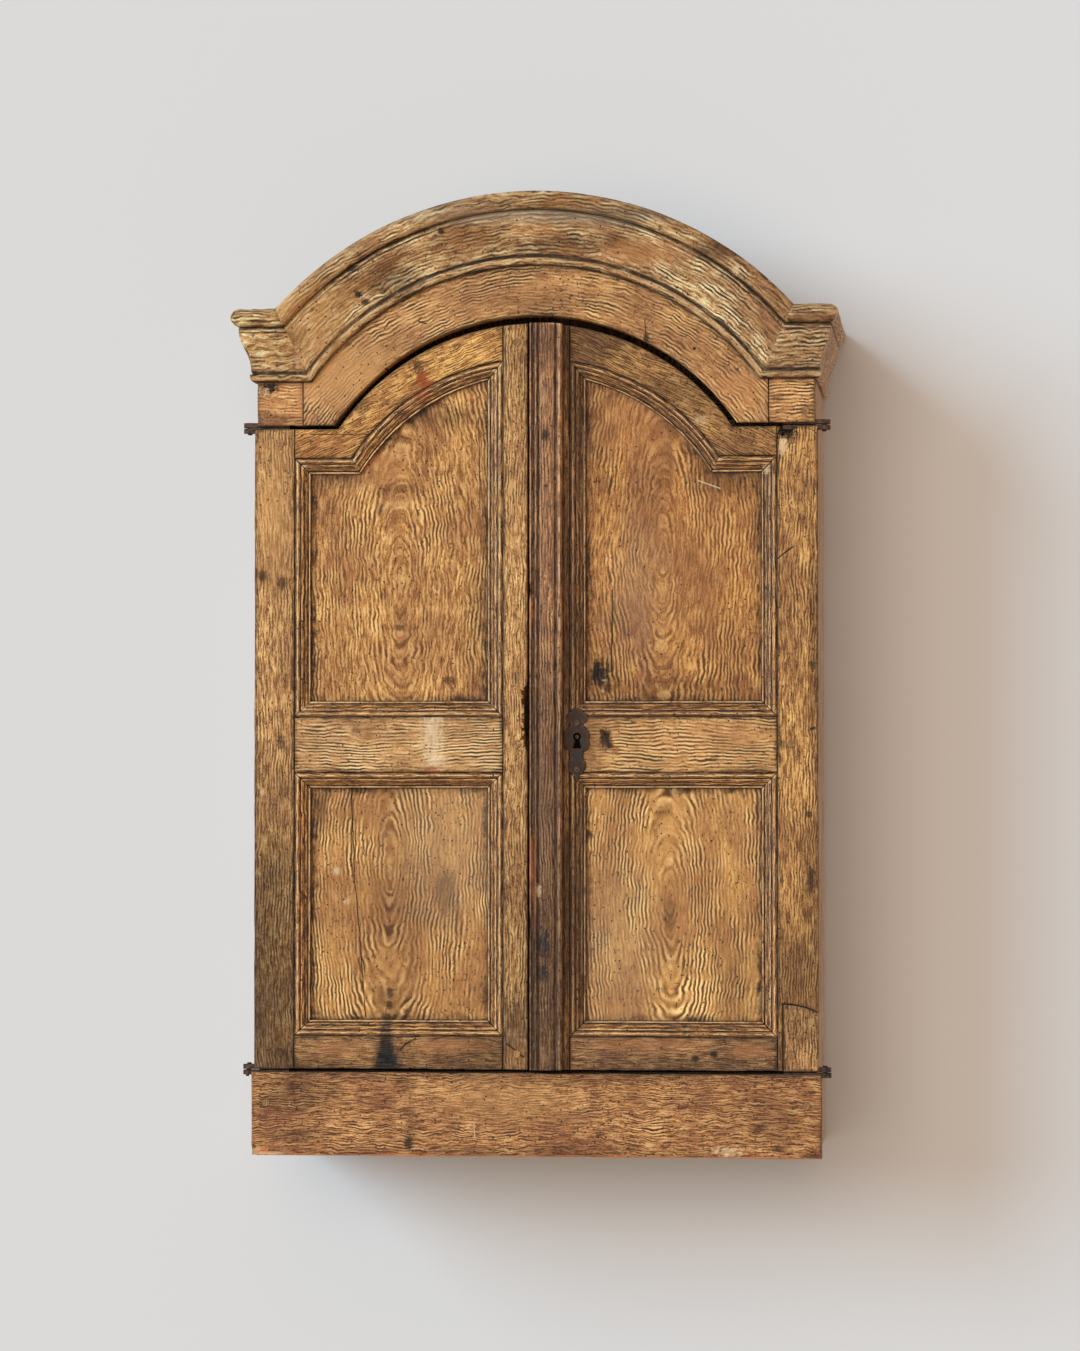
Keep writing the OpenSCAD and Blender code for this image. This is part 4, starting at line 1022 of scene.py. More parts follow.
def fill(rims: np.ndarray, links: list[tuple[int, int]],
         loops: list[Loop]) -> tuple[np.ndarray, np.ndarray, list[list[int]]]:
    """Triangles over places that keep to the wood.

    Args:
        rims: places across and up, those of the outlines first.
        links: pairs of places that the outlines join.
        loops: the outlines.

    Returns:
        The places as used, three of them per triangle, and for each the places it stands for.
    """
    made = delaunay_2d_cdt([Vector(p) for p in rims], links, [], 0, 1e-7, True)
    flat = np.array([tuple(v) for v in made[0]])
    faces = np.array(made[2])
    return flat, faces[inside(flat[faces].mean(axis=1), loops)], made[3]


def read(rows: bpy.types.bpy_prop_collection, label: str, width: int,
         kind: type = float) -> np.ndarray:
    """A field of a mesh's parts, one row per part.

    Args:
        rows: the parts.
        label: the field's name.
        width: how many values a part has.
        kind: the type of the values.

    Returns:
        The values.
    """
    values = np.zeros(len(rows) * width, kind)
    rows.foreach_get(label, values)
    return values.reshape(-1, width)


def note(mesh: bpy.types.Mesh, label: str, values: np.ndarray) -> None:
    """Keeps a value per vertex on the mesh for its material."""
    made = mesh.attributes.new(label, "FLOAT", "POINT")
    made.data.foreach_set("value", values.astype(np.float32))


@dataclass(frozen=True)
class Nick:
    """A broken or dented place: where it is, its radius and its depth, in millimetres.

    Its height is its width times tall.
    """

    at: Pair
    radius: float
    depth: float
    tall: float = 1.0

    def reach(self) -> np.ndarray:
        """Its two radii, across and up, in metres."""
        return self.radius * MM * np.array([1.0, self.tall])

    def middle(self) -> np.ndarray:
        """Its middle, across and up, in metres."""
        return np.array([self.at[0] * MM, FOOT + self.at[1] * MM])

    def share(self, flat: np.ndarray) -> np.ndarray:
        """How far places lie from its middle, as a share of its radii."""
        return np.linalg.norm((flat - self.middle()) / self.reach(), axis=1)


@dataclass
class Piece:
    """What a piece is: the CAD node it stands for, its body, its slot and its own pattern."""

    node: str
    body: str
    slot: str
    seed: int

    def hand_over(self, mesh: bpy.types.Mesh, smooth_angle: float) -> bpy.types.Object:
        """Makes an object of a mesh in place of the CAD node.

        Args:
            mesh: its mesh, in the row frame.
            smooth_angle: edges sharper than this stay sharp, in degrees.

        Returns:
            The new object.
        """
        mesh.polygons.foreach_set("use_smooth", [True] * len(mesh.polygons))
        mesh.set_sharp_from_angle(angle=math.radians(smooth_angle))
        piece = bpy.data.objects.new(mesh.name, mesh)
        bpy.context.scene.collection.objects.link(piece)
        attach(piece, self.body)
        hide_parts(self.node)
        LOG.info("%s: %d faces on %s", piece.name, len(mesh.polygons), self.body)
        return piece


@dataclass
class WornBoard(Piece):
    """A board whose front is carved from its CAD outline, with rubbed edges, dents and nicks.

    Sizes are in millimetres, and pitches of noise in metres.
    """

    BROAD = 0.03
    FINE = 0.007
    CRUMB = 0.004
    SWAYS = ((0.075, 0.35), (0.018, 0.12))
    BITE_START = 0.45
    BITE_DEPTH = 3.2
    BITE_REACH = 1.3
    LOSS_REACH = 2
    WEAR_REACH = 2.2
    NICK_RINGS = 5
    NICK_SPOTS = 6
    NICK_CLEAR = 0.25
    JITTER = 0.3
    BACK_WEAR = 0.4
    edge_round: float = 1.3
    edge_loss: float = 0.45
    sway: float = 0.3
    pitch: float = 5.0
    rings: tuple[float, ...] = (0.35, 0.9, 1.8)
    nicks: tuple[Nick, ...] = ()
    covered: Callable[[np.ndarray], np.ndarray] | None = None
    smooth_angle: float = 38.0

    def outer(self, loops: list[Loop]) -> Loop:
        """The board's own outline, apart from the holes in it."""
        return max(loops, key=lambda loop: np.ptp(loop, axis=0).max())

    def points(self, loops: list[Loop]) -> np.ndarray:
        """Places inside the outline: rings near the edges, a loose grid, and extra at nicks.

        Args:
            loops: the outlines.

        Returns:
            Places across and up, one per row.
        """
        found = []
        for loop in loops:
            before = unit(loop - np.roll(loop, 1, axis=0))
            mean = unit(before + unit(np.roll(loop, -1, axis=0) - loop))
            inward = np.stack([-mean[:, 1], mean[:, 0]], axis=1)
            stretch = 1 / np.maximum(0.4, np.abs(np.sum(before * mean, axis=1)))
            found += [(loop + inward * (d * MM * stretch)[:, None], 0.85 * d * MM)
                      for d in self.rings]
        every = np.concatenate(loops)
        steps = self.pitch * MM
        axes = [np.arange(low, high, steps) for low, high in zip(every.min(0), every.max(0))]
        grid = np.stack(np.meshgrid(*axes), axis=-1).reshape(-1, 2)
        loose = lift(grid)
        for i in range(2):
            grid[:, i] += self.JITTER * steps * ripple(loose, self.CRUMB, self.seed + 50 * i)
        found.append((grid, (self.rings[-1] + 0.35 * self.pitch) * MM))
        for nick in self.nicks:
            for ring in range(1, self.NICK_RINGS + 1):
                count = round(self.NICK_SPOTS * ring * max(1.0, 0.6 * nick.tall))
                turns = np.arange(count) / count * math.tau
                circle = np.stack([np.cos(turns), np.sin(turns)], 1)
                found.append((nick.middle() + nick.reach() * ring / self.NICK_RINGS * circle,
                              self.NICK_CLEAR * MM))
        kept = []
        for places, clear in found:
            places = places[inside(places, loops)]
            if len(places):
                kept.append(places[nearest(places, loops)[0] > clear])
        return np.concatenate(kept)

    def unevenness(self, space: np.ndarray) -> tuple[np.ndarray, np.ndarray]:
        """How the wear differs over the board.

        Args:
            space: places in space.

        Returns:
            Broad unevenness from 0 to 1, and the depth of small bites in metres.
        """
        small = np.clip(ripple(space, self.FINE, self.seed + 1) - self.BITE_START, 0, None)
        return swell(space, self.BROAD, self.seed), small * self.BITE_DEPTH * MM

    def surface(self, flat: np.ndarray,
                loops: list[Loop]) -> tuple[np.ndarray, np.ndarray, np.ndarray]:
        """Works the front face.

        Args:
            flat: the face's places across and up.
            loops: its outlines.

        Returns:
            The moved places, the depth below the face, and the wear, one per place.
        """
        far, where = nearest(flat, [self.outer(loops)])
        space = lift(flat)
        uneven, bite = self.unevenness(space)
        radius = self.edge_round * MM * (0.45 + 1.1 * uneven)
        gone = np.clip(radius - far, 0, None)
        bite = bite * np.exp(-far / (self.BITE_REACH * MM))
        drop = radius - np.sqrt(np.maximum(radius**2 - gone**2, 0)) + 0.6 * bite
        for i, (pitch, share) in enumerate(self.SWAYS):
            drop += self.sway * MM * (1 + ripple(space, pitch, self.seed + 2 + i)) * share
        wear = np.exp(-far / (self.WEAR_REACH * MM)) * (0.55 + 0.45 * uneven)
        for nick in self.nicks:
            share = nick.share(flat) + 0.25 * ripple(space, self.CRUMB, self.seed + 4)
            hole = np.clip(1 - share**2, 0, 1)
            drop += nick.depth * MM * np.sqrt(hole)
            wear = np.maximum(wear, np.clip(hole * 3, 0, 1) * 0.6)
        away = (flat - where) / np.maximum(far, TINY)[:, None]
        loss = self.edge_loss * MM * uneven + 0.5 * bite
        loss *= np.exp(-far / (self.LOSS_REACH * MM))
        return flat + away * loss[:, None], drop, wear

    def rim_push(self, loops: list[Loop], at: np.ndarray) -> np.ndarray:
        """How far the outline itself is worn back into the wood.

        Args:
            loops: the outlines.
            at: their places as triangulated.

        Returns:
            The push for each place.
        """
        runs = [unit(np.roll(loop, -1, axis=0) - np.roll(loop, 1, axis=0)) for loop in loops]
        inward = np.concatenate([np.stack([-run[:, 1], run[:, 0]], axis=1) for run in runs])
        uneven, bite = self.unevenness(lift(at))
        return inward * (self.edge_loss * MM * uneven + 0.5 * bite)[:, None]

    def build(self) -> bpy.types.Object:
        """Makes the board and hands it over in place of its CAD node.

        Returns:
            The board.
        """
        loops = [even_out(loop, 0.8 * self.pitch * MM) for loop in front_loops(self.node)]
        low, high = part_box(self.node)
        rims = np.concatenate(loops)
        starts = np.cumsum([0] + [len(loop) for loop in loops])
        links = [(int(s + i), int(s + (i + 1) % len(loop)))
                 for s, loop in zip(starts, loops) for i in range(len(loop))]
        flat, faces, sources = fill(np.concatenate([rims, self.points(loops)]), links, loops)
        out_of = {source: i for i, group in enumerate(sources) for source in group}
        moved, drop, wear = self.surface(flat, loops)
        rim_ids = np.array([out_of[i] for i in range(len(rims))])
        moved[rim_ids] = flat[rim_ids] + self.rim_push(loops, flat[rim_ids])
        edge = np.concatenate([np.full(len(loop), float(loop is self.outer(loops)))
                               for loop in loops])
        drop[rim_ids] = np.maximum(drop[rim_ids], (0.1 + 0.35 * edge) * self.edge_round * MM)
        drop = np.minimum(drop, 0.8 * (high.y - low.y))
        front = np.column_stack([moved[:, 0], low.y + drop, moved[:, 1]])
        back = np.column_stack([moved[rim_ids, 0], np.full(len(rims), high.y), moved[rim_ids, 1]])
        count = len(front)
        shape = [tuple(int(i) for i in f) for f in faces]
        shape += [(int(rim_ids[a]), count + a, count + b, int(rim_ids[b])) for a, b in links]
        _, rear, sources = fill(rims, links, loops)
        shape += [tuple(count + sources[i][0] for i in face[::-1]) for face in rear]
        mesh = bpy.data.meshes.new(self.node + "_worn")
        mesh.from_pydata(np.concatenate([front, back]).tolist(), [], shape)
        mesh.validate()
        note(mesh, "worn", np.concatenate([wear, np.full(len(back), self.BACK_WEAR)]))
        inset = nearest(flat, [self.outer(loops)])[0]
        # Under a covering piece the inset counts from that piece's edge, so the band of dirt and
        # painted shade gathers beneath it.
        if self.covered:
            inset = np.minimum(inset, self.covered(flat))
        note(mesh, "inset", np.concatenate([inset, np.ones(len(back))]))
        return self.hand_over(mesh, self.smooth_angle)


@dataclass
class WornRun(Piece):
    """A moulded or forged piece: its CAD mesh cut into short lengths and worn unevenly.

    Sizes are in millimetres, and pitches of noise in metres. Cuts across X, Y and Z that are 0
    are left out.
    """

    STRAIGHT = math.radians(0.25)
    ON_MITRE = 0.05
    BEND_GAIN = 4.5
    BROAD = 0.035
    MIDDLE = 0.014
    FINE = 0.008
    CRUMB = 0.004
    CHIP_START = 0.4
    CHIP_GAIN = 2.2
    cuts: Triple = (6.0, 0.0, 6.0)
    sway: float = 0.35
    ridge_loss: float = 0.5
    nick: float = 0.9
    smooth_angle: float = 32.0
    bites: tuple[Nick, ...] = ()
    joints: tuple[tuple[Pair, Pair], ...] = ()
    inset: Callable[[np.ndarray], np.ndarray] | None = None

    def close_joints(self, spots: np.ndarray, normals: np.ndarray) -> None:
        """Turns the normals at mitres into the mitre's plane, so that it wears without a groove.

        Args:
            spots: the places of the mesh, one per row.
            normals: their normals, which are changed.
        """
        for start, end in self.joints:
            low, high = spot(*start), spot(*end)
            across = np.array((high - low).cross(Vector((0, 1, 0))).normalized())
            on = np.abs((spots - np.array(low)) @ across) < self.ON_MITRE * MM
            normals[on] -= (normals[on] @ across)[:, None] * across
            normals[on] = unit(normals[on])

    def sliced(self) -> bpy.types.Mesh:
        """The CAD mesh, joined up and cut into short lengths.

        Returns:
            The new mesh.
        """
        bm = bmesh.new()
        bm.from_mesh(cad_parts[self.node].data)
        bmesh.ops.remove_doubles(bm, verts=bm.verts, dist=WELD)
        bmesh.ops.dissolve_limit(bm, angle_limit=self.STRAIGHT, verts=bm.verts, edges=bm.edges)
        low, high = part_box(self.node)
        for axis, spacing in enumerate(self.cuts):
            if not spacing:
                continue
            normal = Vector([float(i == axis) for i in range(3)])
            count = int((high[axis] - low[axis]) / (spacing * MM))
            for i in range(1, count):
                at = low.copy()
                at[axis] += (high[axis] - low[axis]) * i / count
                bmesh.ops.bisect_plane(bm, geom=bm.verts[:] + bm.edges[:] + bm.faces[:], dist=1e-6,
                                       plane_co=at, plane_no=normal)
        bmesh.ops.triangulate(bm, faces=[f for f in bm.faces if len(f.verts) > 4])
        mesh = bpy.data.meshes.new(self.node + "_worn")
        bm.to_mesh(mesh)
        bm.free()
        return mesh

    def bend(self, mesh: bpy.types.Mesh, spots: np.ndarray, normals: np.ndarray) -> np.ndarray:
        """How the surface bends at each place.

        Args:
            mesh: the mesh.
            spots: its places.
            normals: their normals.

        Returns:
            The mean rise of the edges, below 0 on ridges and above 0 in hollows.
        """
        ends = read(mesh.edges, "vertices", 2, np.int64)
        run = unit(spots[ends[:, 1]] - spots[ends[:, 0]])
        curve, shared = np.zeros(len(spots)), np.zeros(len(spots))
        for at, way in ((ends[:, 0], run), (ends[:, 1], -run)):
            np.add.at(curve, at, np.sum(normals[at] * way, axis=1))
            np.add.at(shared, at, 1)
        return curve / np.maximum(shared, 1)

    def build(self) -> bpy.types.Object:
        """Makes the worn piece and hands it over in place of its CAD node.

        Returns:
            The piece.
        """
        mesh = self.sliced()
        spots = read(mesh.vertices, "co", 3)
        normals = read(mesh.vertex_normals, "vector", 3)
        self.close_joints(spots, normals)
        if self.inset:
            note(mesh, "inset", self.inset(spots))
        curve = self.bend(mesh, spots, normals)
        ridge, hollow = (np.clip(side * curve * self.BEND_GAIN, 0, 1) for side in (-1, 1))
        uneven = swell(spots, self.BROAD, self.seed)
        chip = np.clip(ripple(spots, self.FINE, self.seed + 1) - self.CHIP_START, 0, None)
        chip *= self.CHIP_GAIN
        loss = self.sway * (0.7 * uneven + 0.3 * swell(spots, self.MIDDLE, self.seed + 2))
        loss += ridge * (self.ridge_loss * uneven + self.nick * chip)
        for bite in self.bites:
            deep = np.sqrt(np.clip(1 - bite.share(spots[:, [0, 2]])**2, 0, 1))
            deep *= 0.7 + 0.3 * ripple(spots, self.CRUMB, 7)
            loss += bite.depth * deep * (normals[:, 1] < 0.5)
        spots -= normals * (loss * MM)[:, None]
        mesh.vertices.foreach_set("co", np.clip(spots, *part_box(self.node)).ravel())
        note(mesh, "worn", ridge)
        note(mesh, "hollow", hollow)
        mesh.update()
        return self.hand_over(mesh, self.smooth_angle)


@dataclass
class KeptPiece:
    """A CAD node that stays as it is, with its arrises taken off. Width is in millimetres."""

    node: str
    arris: float = 0.8
    corner: float = 40.0

    def build(self) -> bpy.types.Object:
        """Adds the modifiers that soften the arrises.

        Returns:
            The node's own object.
        """
        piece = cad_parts[self.node]
        piece.modifiers.new("joined", "WELD").merge_threshold = WELD
        soft = piece.modifiers.new("arris", "BEVEL")
        soft.width = self.arris * MM
        soft.segments = 2
        soft.limit_method = "ANGLE"
        soft.angle_limit = math.radians(self.corner)
        LOG.info("%s: kept", self.node)
        return piece


@dataclass
class Case:
    """The carcass behind the doors: sides, bottom, back, shelves and hanging rail."""

    arris: float = 1.0
    inside_grain: tuple[Pair, float] = ((40.0, 380.0), 0.12)
    side_grain: tuple[Pair, float] = ((0.0, 420.0), 0.15)
    seed: int = 3

    def dress_inside(self) -> None:
        """Finishes what shows with the doors open or from behind."""
        runs = {"bottom_board": Run.LEVEL_FLAT, "lower_shelf": Run.LEVEL_FLAT,
                "upper_shelf": Run.LEVEL_FLAT, "back_boards": Run.UPRIGHT,
                "shelf_cleats": Run.LEVEL_SIDE, "hanging_rail": Run.LEVEL}
        for i, (node, run) in enumerate(runs.items()):
            piece = KeptPiece(node, self.arris).build()
            INSIDE_OAK.dress(piece, run, *self.inside_grain, self.seed + i)

    def dress_sides(self) -> None:
        """Finishes the two side boards."""
        for i, node in enumerate(("left_side_board", "right_side_board")):
            piece = KeptPiece(node, self.arris).build()
            SIDE_OAK.dress(piece, Run.UPRIGHT_SIDE, *self.side_grain, self.seed + 20 + i)

    def build(self) -> None:
        """Dresses the whole carcass."""
        self.dress_inside()
        self.dress_sides()


@dataclass
class Head:
    """What crowns the case: frieze, cornice, roof staves and shoulder boards."""

    seed: int = 40
    frieze_rise: float = 117.5
    frieze_half: float = 218.5
    frieze_foot: float = 791.5
    cornice_rise: float = 125.0
    cornice_half: float = 281.0
    cornice_foot: Pair = (243.1, 838.5)
    cornice_shoulder: float = 918.0
    crown: float = 1043.0
    sway: float = 0.6
    nick: float = 1.4
    level_grain: tuple[Pair, float] = ((0.0, 760.0), 0.05)
    roof_grain: tuple[Pair, float] = ((60.0, 300.0), 0.1)

    def centre(self, half: float, rise: float, top: float) -> Vector:
        """The centre of an arch, from half its width, its rise and the height of its top."""
        return spot(0, top - (half**2 + rise**2) / (2 * rise))

    def frieze_centre(self) -> Vector:
        """The centre of the frieze's arch."""
        return self.centre(self.frieze_half, self.frieze_rise, self.frieze_foot + self.frieze_rise)

    def cornice_centre(self) -> Vector:
        """The centre of the cornice's arch."""
        return self.centre(self.cornice_half, self.cornice_rise, self.crown)

    def mitre(self, side: int) -> tuple[Pair, Pair]:
        """The line where the arch meets the level moulding on one side."""
        foot, rise = self.cornice_foot
        return (side * foot, rise), (side * self.cornice_half, self.cornice_shoulder)

    def from_crown(self, places: np.ndarray) -> np.ndarray:
        """How far places lie below the outer edge of the arched moulding.

        Args:
            places: places whose last number is their height.

        Returns:
            Distances in metres.
        """
        centre = self.cornice_centre()
        reach = self.crown * MM + FOOT - centre.z
        return reach - np.hypot(places[:, 0], places[:, -1] - centre.z)

    def from_shoulder(self, places: np.ndarray) -> np.ndarray:
        """How far places lie below the top of the level mouldings."""
        return FOOT + self.cornice_shoulder * MM - places[:, -1]

    def below_cornice(self, flat: np.ndarray) -> np.ndarray:
        """How far places lie below the lower edge of the whole cornice.

        Args:
            flat: places across and up.

        Returns:
            Distances in metres.
        """
        rise = (self.cornice_shoulder - self.cornice_foot[1]) * MM
        inner = np.abs(flat[:, 0]) < self.cornice_foot[0] * MM
        return np.where(inner, self.from_crown(flat), self.from_shoulder(flat)) - rise

    def build_frieze(self) -> None:
        """Carves the arched board and the two upright blocks."""
        # The frieze's arch and blocks count their inset from the cornice's lower edge, so the edge
        # band paints dirt and shade under the cornice.
        arch = WornBoard("frieze_arch", "case", "front_oak", self.seed, sway=0.4,
                         covered=self.below_cornice).build()
        marks = (Trace.SPLIT(119.2, 903, 121, 885, 0.7), Trace.KNOT(121, 884, 3, 5),
                 Trace.HOLE(173, 872, 1.6, 1.6), Trace.SPLIT(-126, 904, -117.5, 901.5, width=1.1),
                 Trace.BARE(-190, 832, 60, 22, 0.45), Trace.BARE(205, 826, 50, 20, 0.5),
                 Trace.GOLD(-205, 850, 60, 30, 0.9), Trace.STAIN(0, 962, 150, 7, 0.55),
                 Trace.STAIN(30, 925, 60, 8, 0.35))
        FRONT_OAK.shaded(0.88, 0.9, 0.86).dress(arch, Run.ARCH, (20.0, 1040.0), 0.12, self.seed,
                                                marks, self.frieze_centre())
        blocks = {"frieze_left_block": (Nick((-294, 829), 6, 4),), "frieze_right_block": ()}
        for i, (node, nicks) in enumerate(blocks.items()):
            block = WornBoard(node, "case", "front_oak", self.seed + 2 + i, nicks=nicks,
                              covered=self.below_cornice).build()
            marks = (Trace.GNARL(-290, 833, 9, 5), Trace.CHIP(-296.5, 829, 5, 5),
                     Trace.STAIN(-285, 798, 26, 5, 0.8), Trace.BARE(-248, 812, 10, 22, 0.7),
                     Trace.STAIN(-244, 806, 4, 14, 0.6), Trace.KNOT(292.5, 804.5, 7, 7, 0.5),
                     Trace.KNOT(262, 818, 6, 4, 0.6))
            FRONT_OAK.dress(block, Run.LEVEL, (0.0, 700.0), 0.05, self.seed + 3 + i, marks)

    def build_cornice(self) -> None:
        """Wears the arched moulding, its two shoulders and the returns along the sides."""
        worn = {"sway": self.sway, "nick": self.nick}
        bites = (Nick((-228, 944), 5, 1.6), Nick((-155, 996), 4, 1.4), Nick((221, 957), 6, 1.8),
                 Nick((120, 1012), 4, 1.2))
        arch = WornRun("cornice_arch", "case", "cornice_oak", self.seed + 6, (5.0, 0.0, 0.0),
                       bites=bites, joints=(self.mitre(-1), self.mitre(1)),
                       inset=self.from_crown, **worn).build()
        marks = (Trace.GNARL(-100, 1000, 3, 3), Trace.KNOT(-197, 960, 5, 4),
                 Trace.GNARL(-191, 933, 3.6, 3.2), Trace.KNOT(-184, 925, 5, 3.5),
                 Trace.STAIN(-150, 946, 26, 16, 0.9), Trace.GNARL(-265, 885, 4.6, 6),
                 Trace.STAIN(-262, 888, 14, 12, 0.9), Trace.GOLD(-262, 905, 50, 40, 0.9),
                 Trace.CHIP(219, 954, 4, 5), Trace.GREY(-60, 1016, 110, 8),
                 Trace.GREY(80, 1012, 90, 8, 0.8), Trace.STAIN(-110, 1028, 60, 5, 0.8),
                 Trace.STAIN(140, 1018, 70, 6, 0.9), Trace.STAIN(200, 975, 40, 8),
                 Trace.STAIN(40, 986, 60, 8, 0.6), Trace.BARE(120, 975, 46, 12, 0.6),
                 Trace.BARE(0, 1000, 30, 8, 0.4))
        CORNICE_OAK.dress(arch, Run.ARCH, (0.0, 1100.0), 0.1, self.seed + 6, marks,
                          self.cornice_centre())
        bites = ((Nick((-328, 912), 5, 2.6), Nick((-326, 897), 4, 2.0), Nick((-312, 917), 6, 1.6),
                  Nick((-296, 918), 5, 1.2), Nick((-314, 868), 5, 2.0), Nick((-305, 846), 5, 2.2)),
                 (Nick((327, 899), 5, 2.0), Nick((318, 846), 5, 2.0)))
        shades = ((1.08, 1.08, 1.05), (0.76, 0.7, 0.66))
        for i, node in enumerate(("cornice_left_ear", "cornice_right_ear")):
            ear = WornRun(node, "case", "cornice_oak", self.seed + 6, (4.0, 0.0, 0.0),
                          bites=bites[i], joints=(self.mitre(2 * i - 1),),
                          inset=self.from_shoulder, **worn).build()
            CORNICE_OAK.shaded(*shades[i]).dress(ear, Run.LEVEL, *self.level_grain,
                                                 self.seed + 8 + i)
        for i, node in enumerate(("cornice_left_return", "cornice_right_return")):
            side = WornRun(node, "case", "cornice_oak", self.seed + 12 + i, (0.0, 6.0, 0.0),
                           ridge_loss=0.8, inset=self.from_shoulder, **worn).build()
            SIDE_OAK.dress(side, Run.LEVEL_SIDE, *self.level_grain, self.seed + 12 + i)

    def build_roof(self) -> None:
        """Dresses the staves and the shoulder boards."""
        for i, node in enumerate(("roof_staves", "shoulder_boards")):
            INSIDE_OAK.dress(KeptPiece(node).build(), Run.DEEP, *self.roof_grain,
                             self.seed + 16 + i)

    def build(self) -> None:
        """Builds the whole head."""
        self.build_frieze()
        self.build_cornice()
        self.build_roof()


@dataclass
class Apron:
    """The plain board under the doors."""

    seed: int = 60
    nicks: tuple[Nick, ...] = (Nick((-309.5, 2), 8, 9), Nick((203, 0), 7, 5),
                               Nick((214, 1), 6, 4), Nick((196, 0), 5, 4),
                               Nick((-120, 0), 5, 2.5), Nick((60, 0), 6, 2))

    def build(self) -> None:
        """Carves and dresses the apron."""
        board = WornBoard("apron_board", "case", "front_oak", self.seed, sway=0.4, edge_loss=0.9,
                          edge_round=1.8, nicks=self.nicks).build()
        marks = (Trace.CHIP(206, 7, 15, 5), Trace.CHIP(-306, 5, 6, 4, 0.7),
                 Trace.FRESH(-150, 0, 190, 1.7), Trace.FRESH(130, 0, 170, 2.2),
                 # The FRESH line up the left end, at x -309, is a painted highlight on the rounded
                 # edge; the other FRESH marks are chipped bare wood.
                 Trace.FRESH(-309, 40, 1.6, 50, 0.6), Trace.FRESH(-298, 3, 9, 2.2),
                 Trace.CHIP(-290, 2, 14, 1.6, 0.7), Trace.SCRATCH(-66, 36, -65, 21),
                 Trace.KNOT(-137, 14, 5, 7), Trace.STAIN(-135, 34, 5, 20, 0.7),
                 Trace.STAIN(-20, 86, 230, 6, 0.6), Trace.STAIN(-262, 66, 34, 18, 0.8),
                 Trace.STAIN(-262, 22, 30, 7, 0.7), Trace.STAIN(262, 40, 44, 26, 0.5),
                 Trace.STAIN(20, 8, 120, 5, 0.6), Trace.GOLD(-40, 60, 70, 18, 0.6),
                 Trace.KNOT(52, 52, 6, 3, 0.5))
        APRON_OAK.dress(board, Run.LEVEL, (-60.0, -80.0), 0.1, self.seed, marks)


def forge_leaves(node: str, body: str, seed: int, rust: int) -> None:
    """Forges hinge leaves.

    Args:
        node: the CAD node.
        body: the body they are fixed to.
        seed: chooses their wear.
        rust: chooses their rust.
    """
    IRON.dress(WornRun(node, body, "wrought_iron", seed, (3.0, 3.0, 0.0), sway=0.25,
                       nick=0.5).build(), rust)


class Hand(Enum):
    """Which door, as its name and the side of the middle it hangs on."""

    LEFT = ("left", -1)
    RIGHT = ("right", 1)


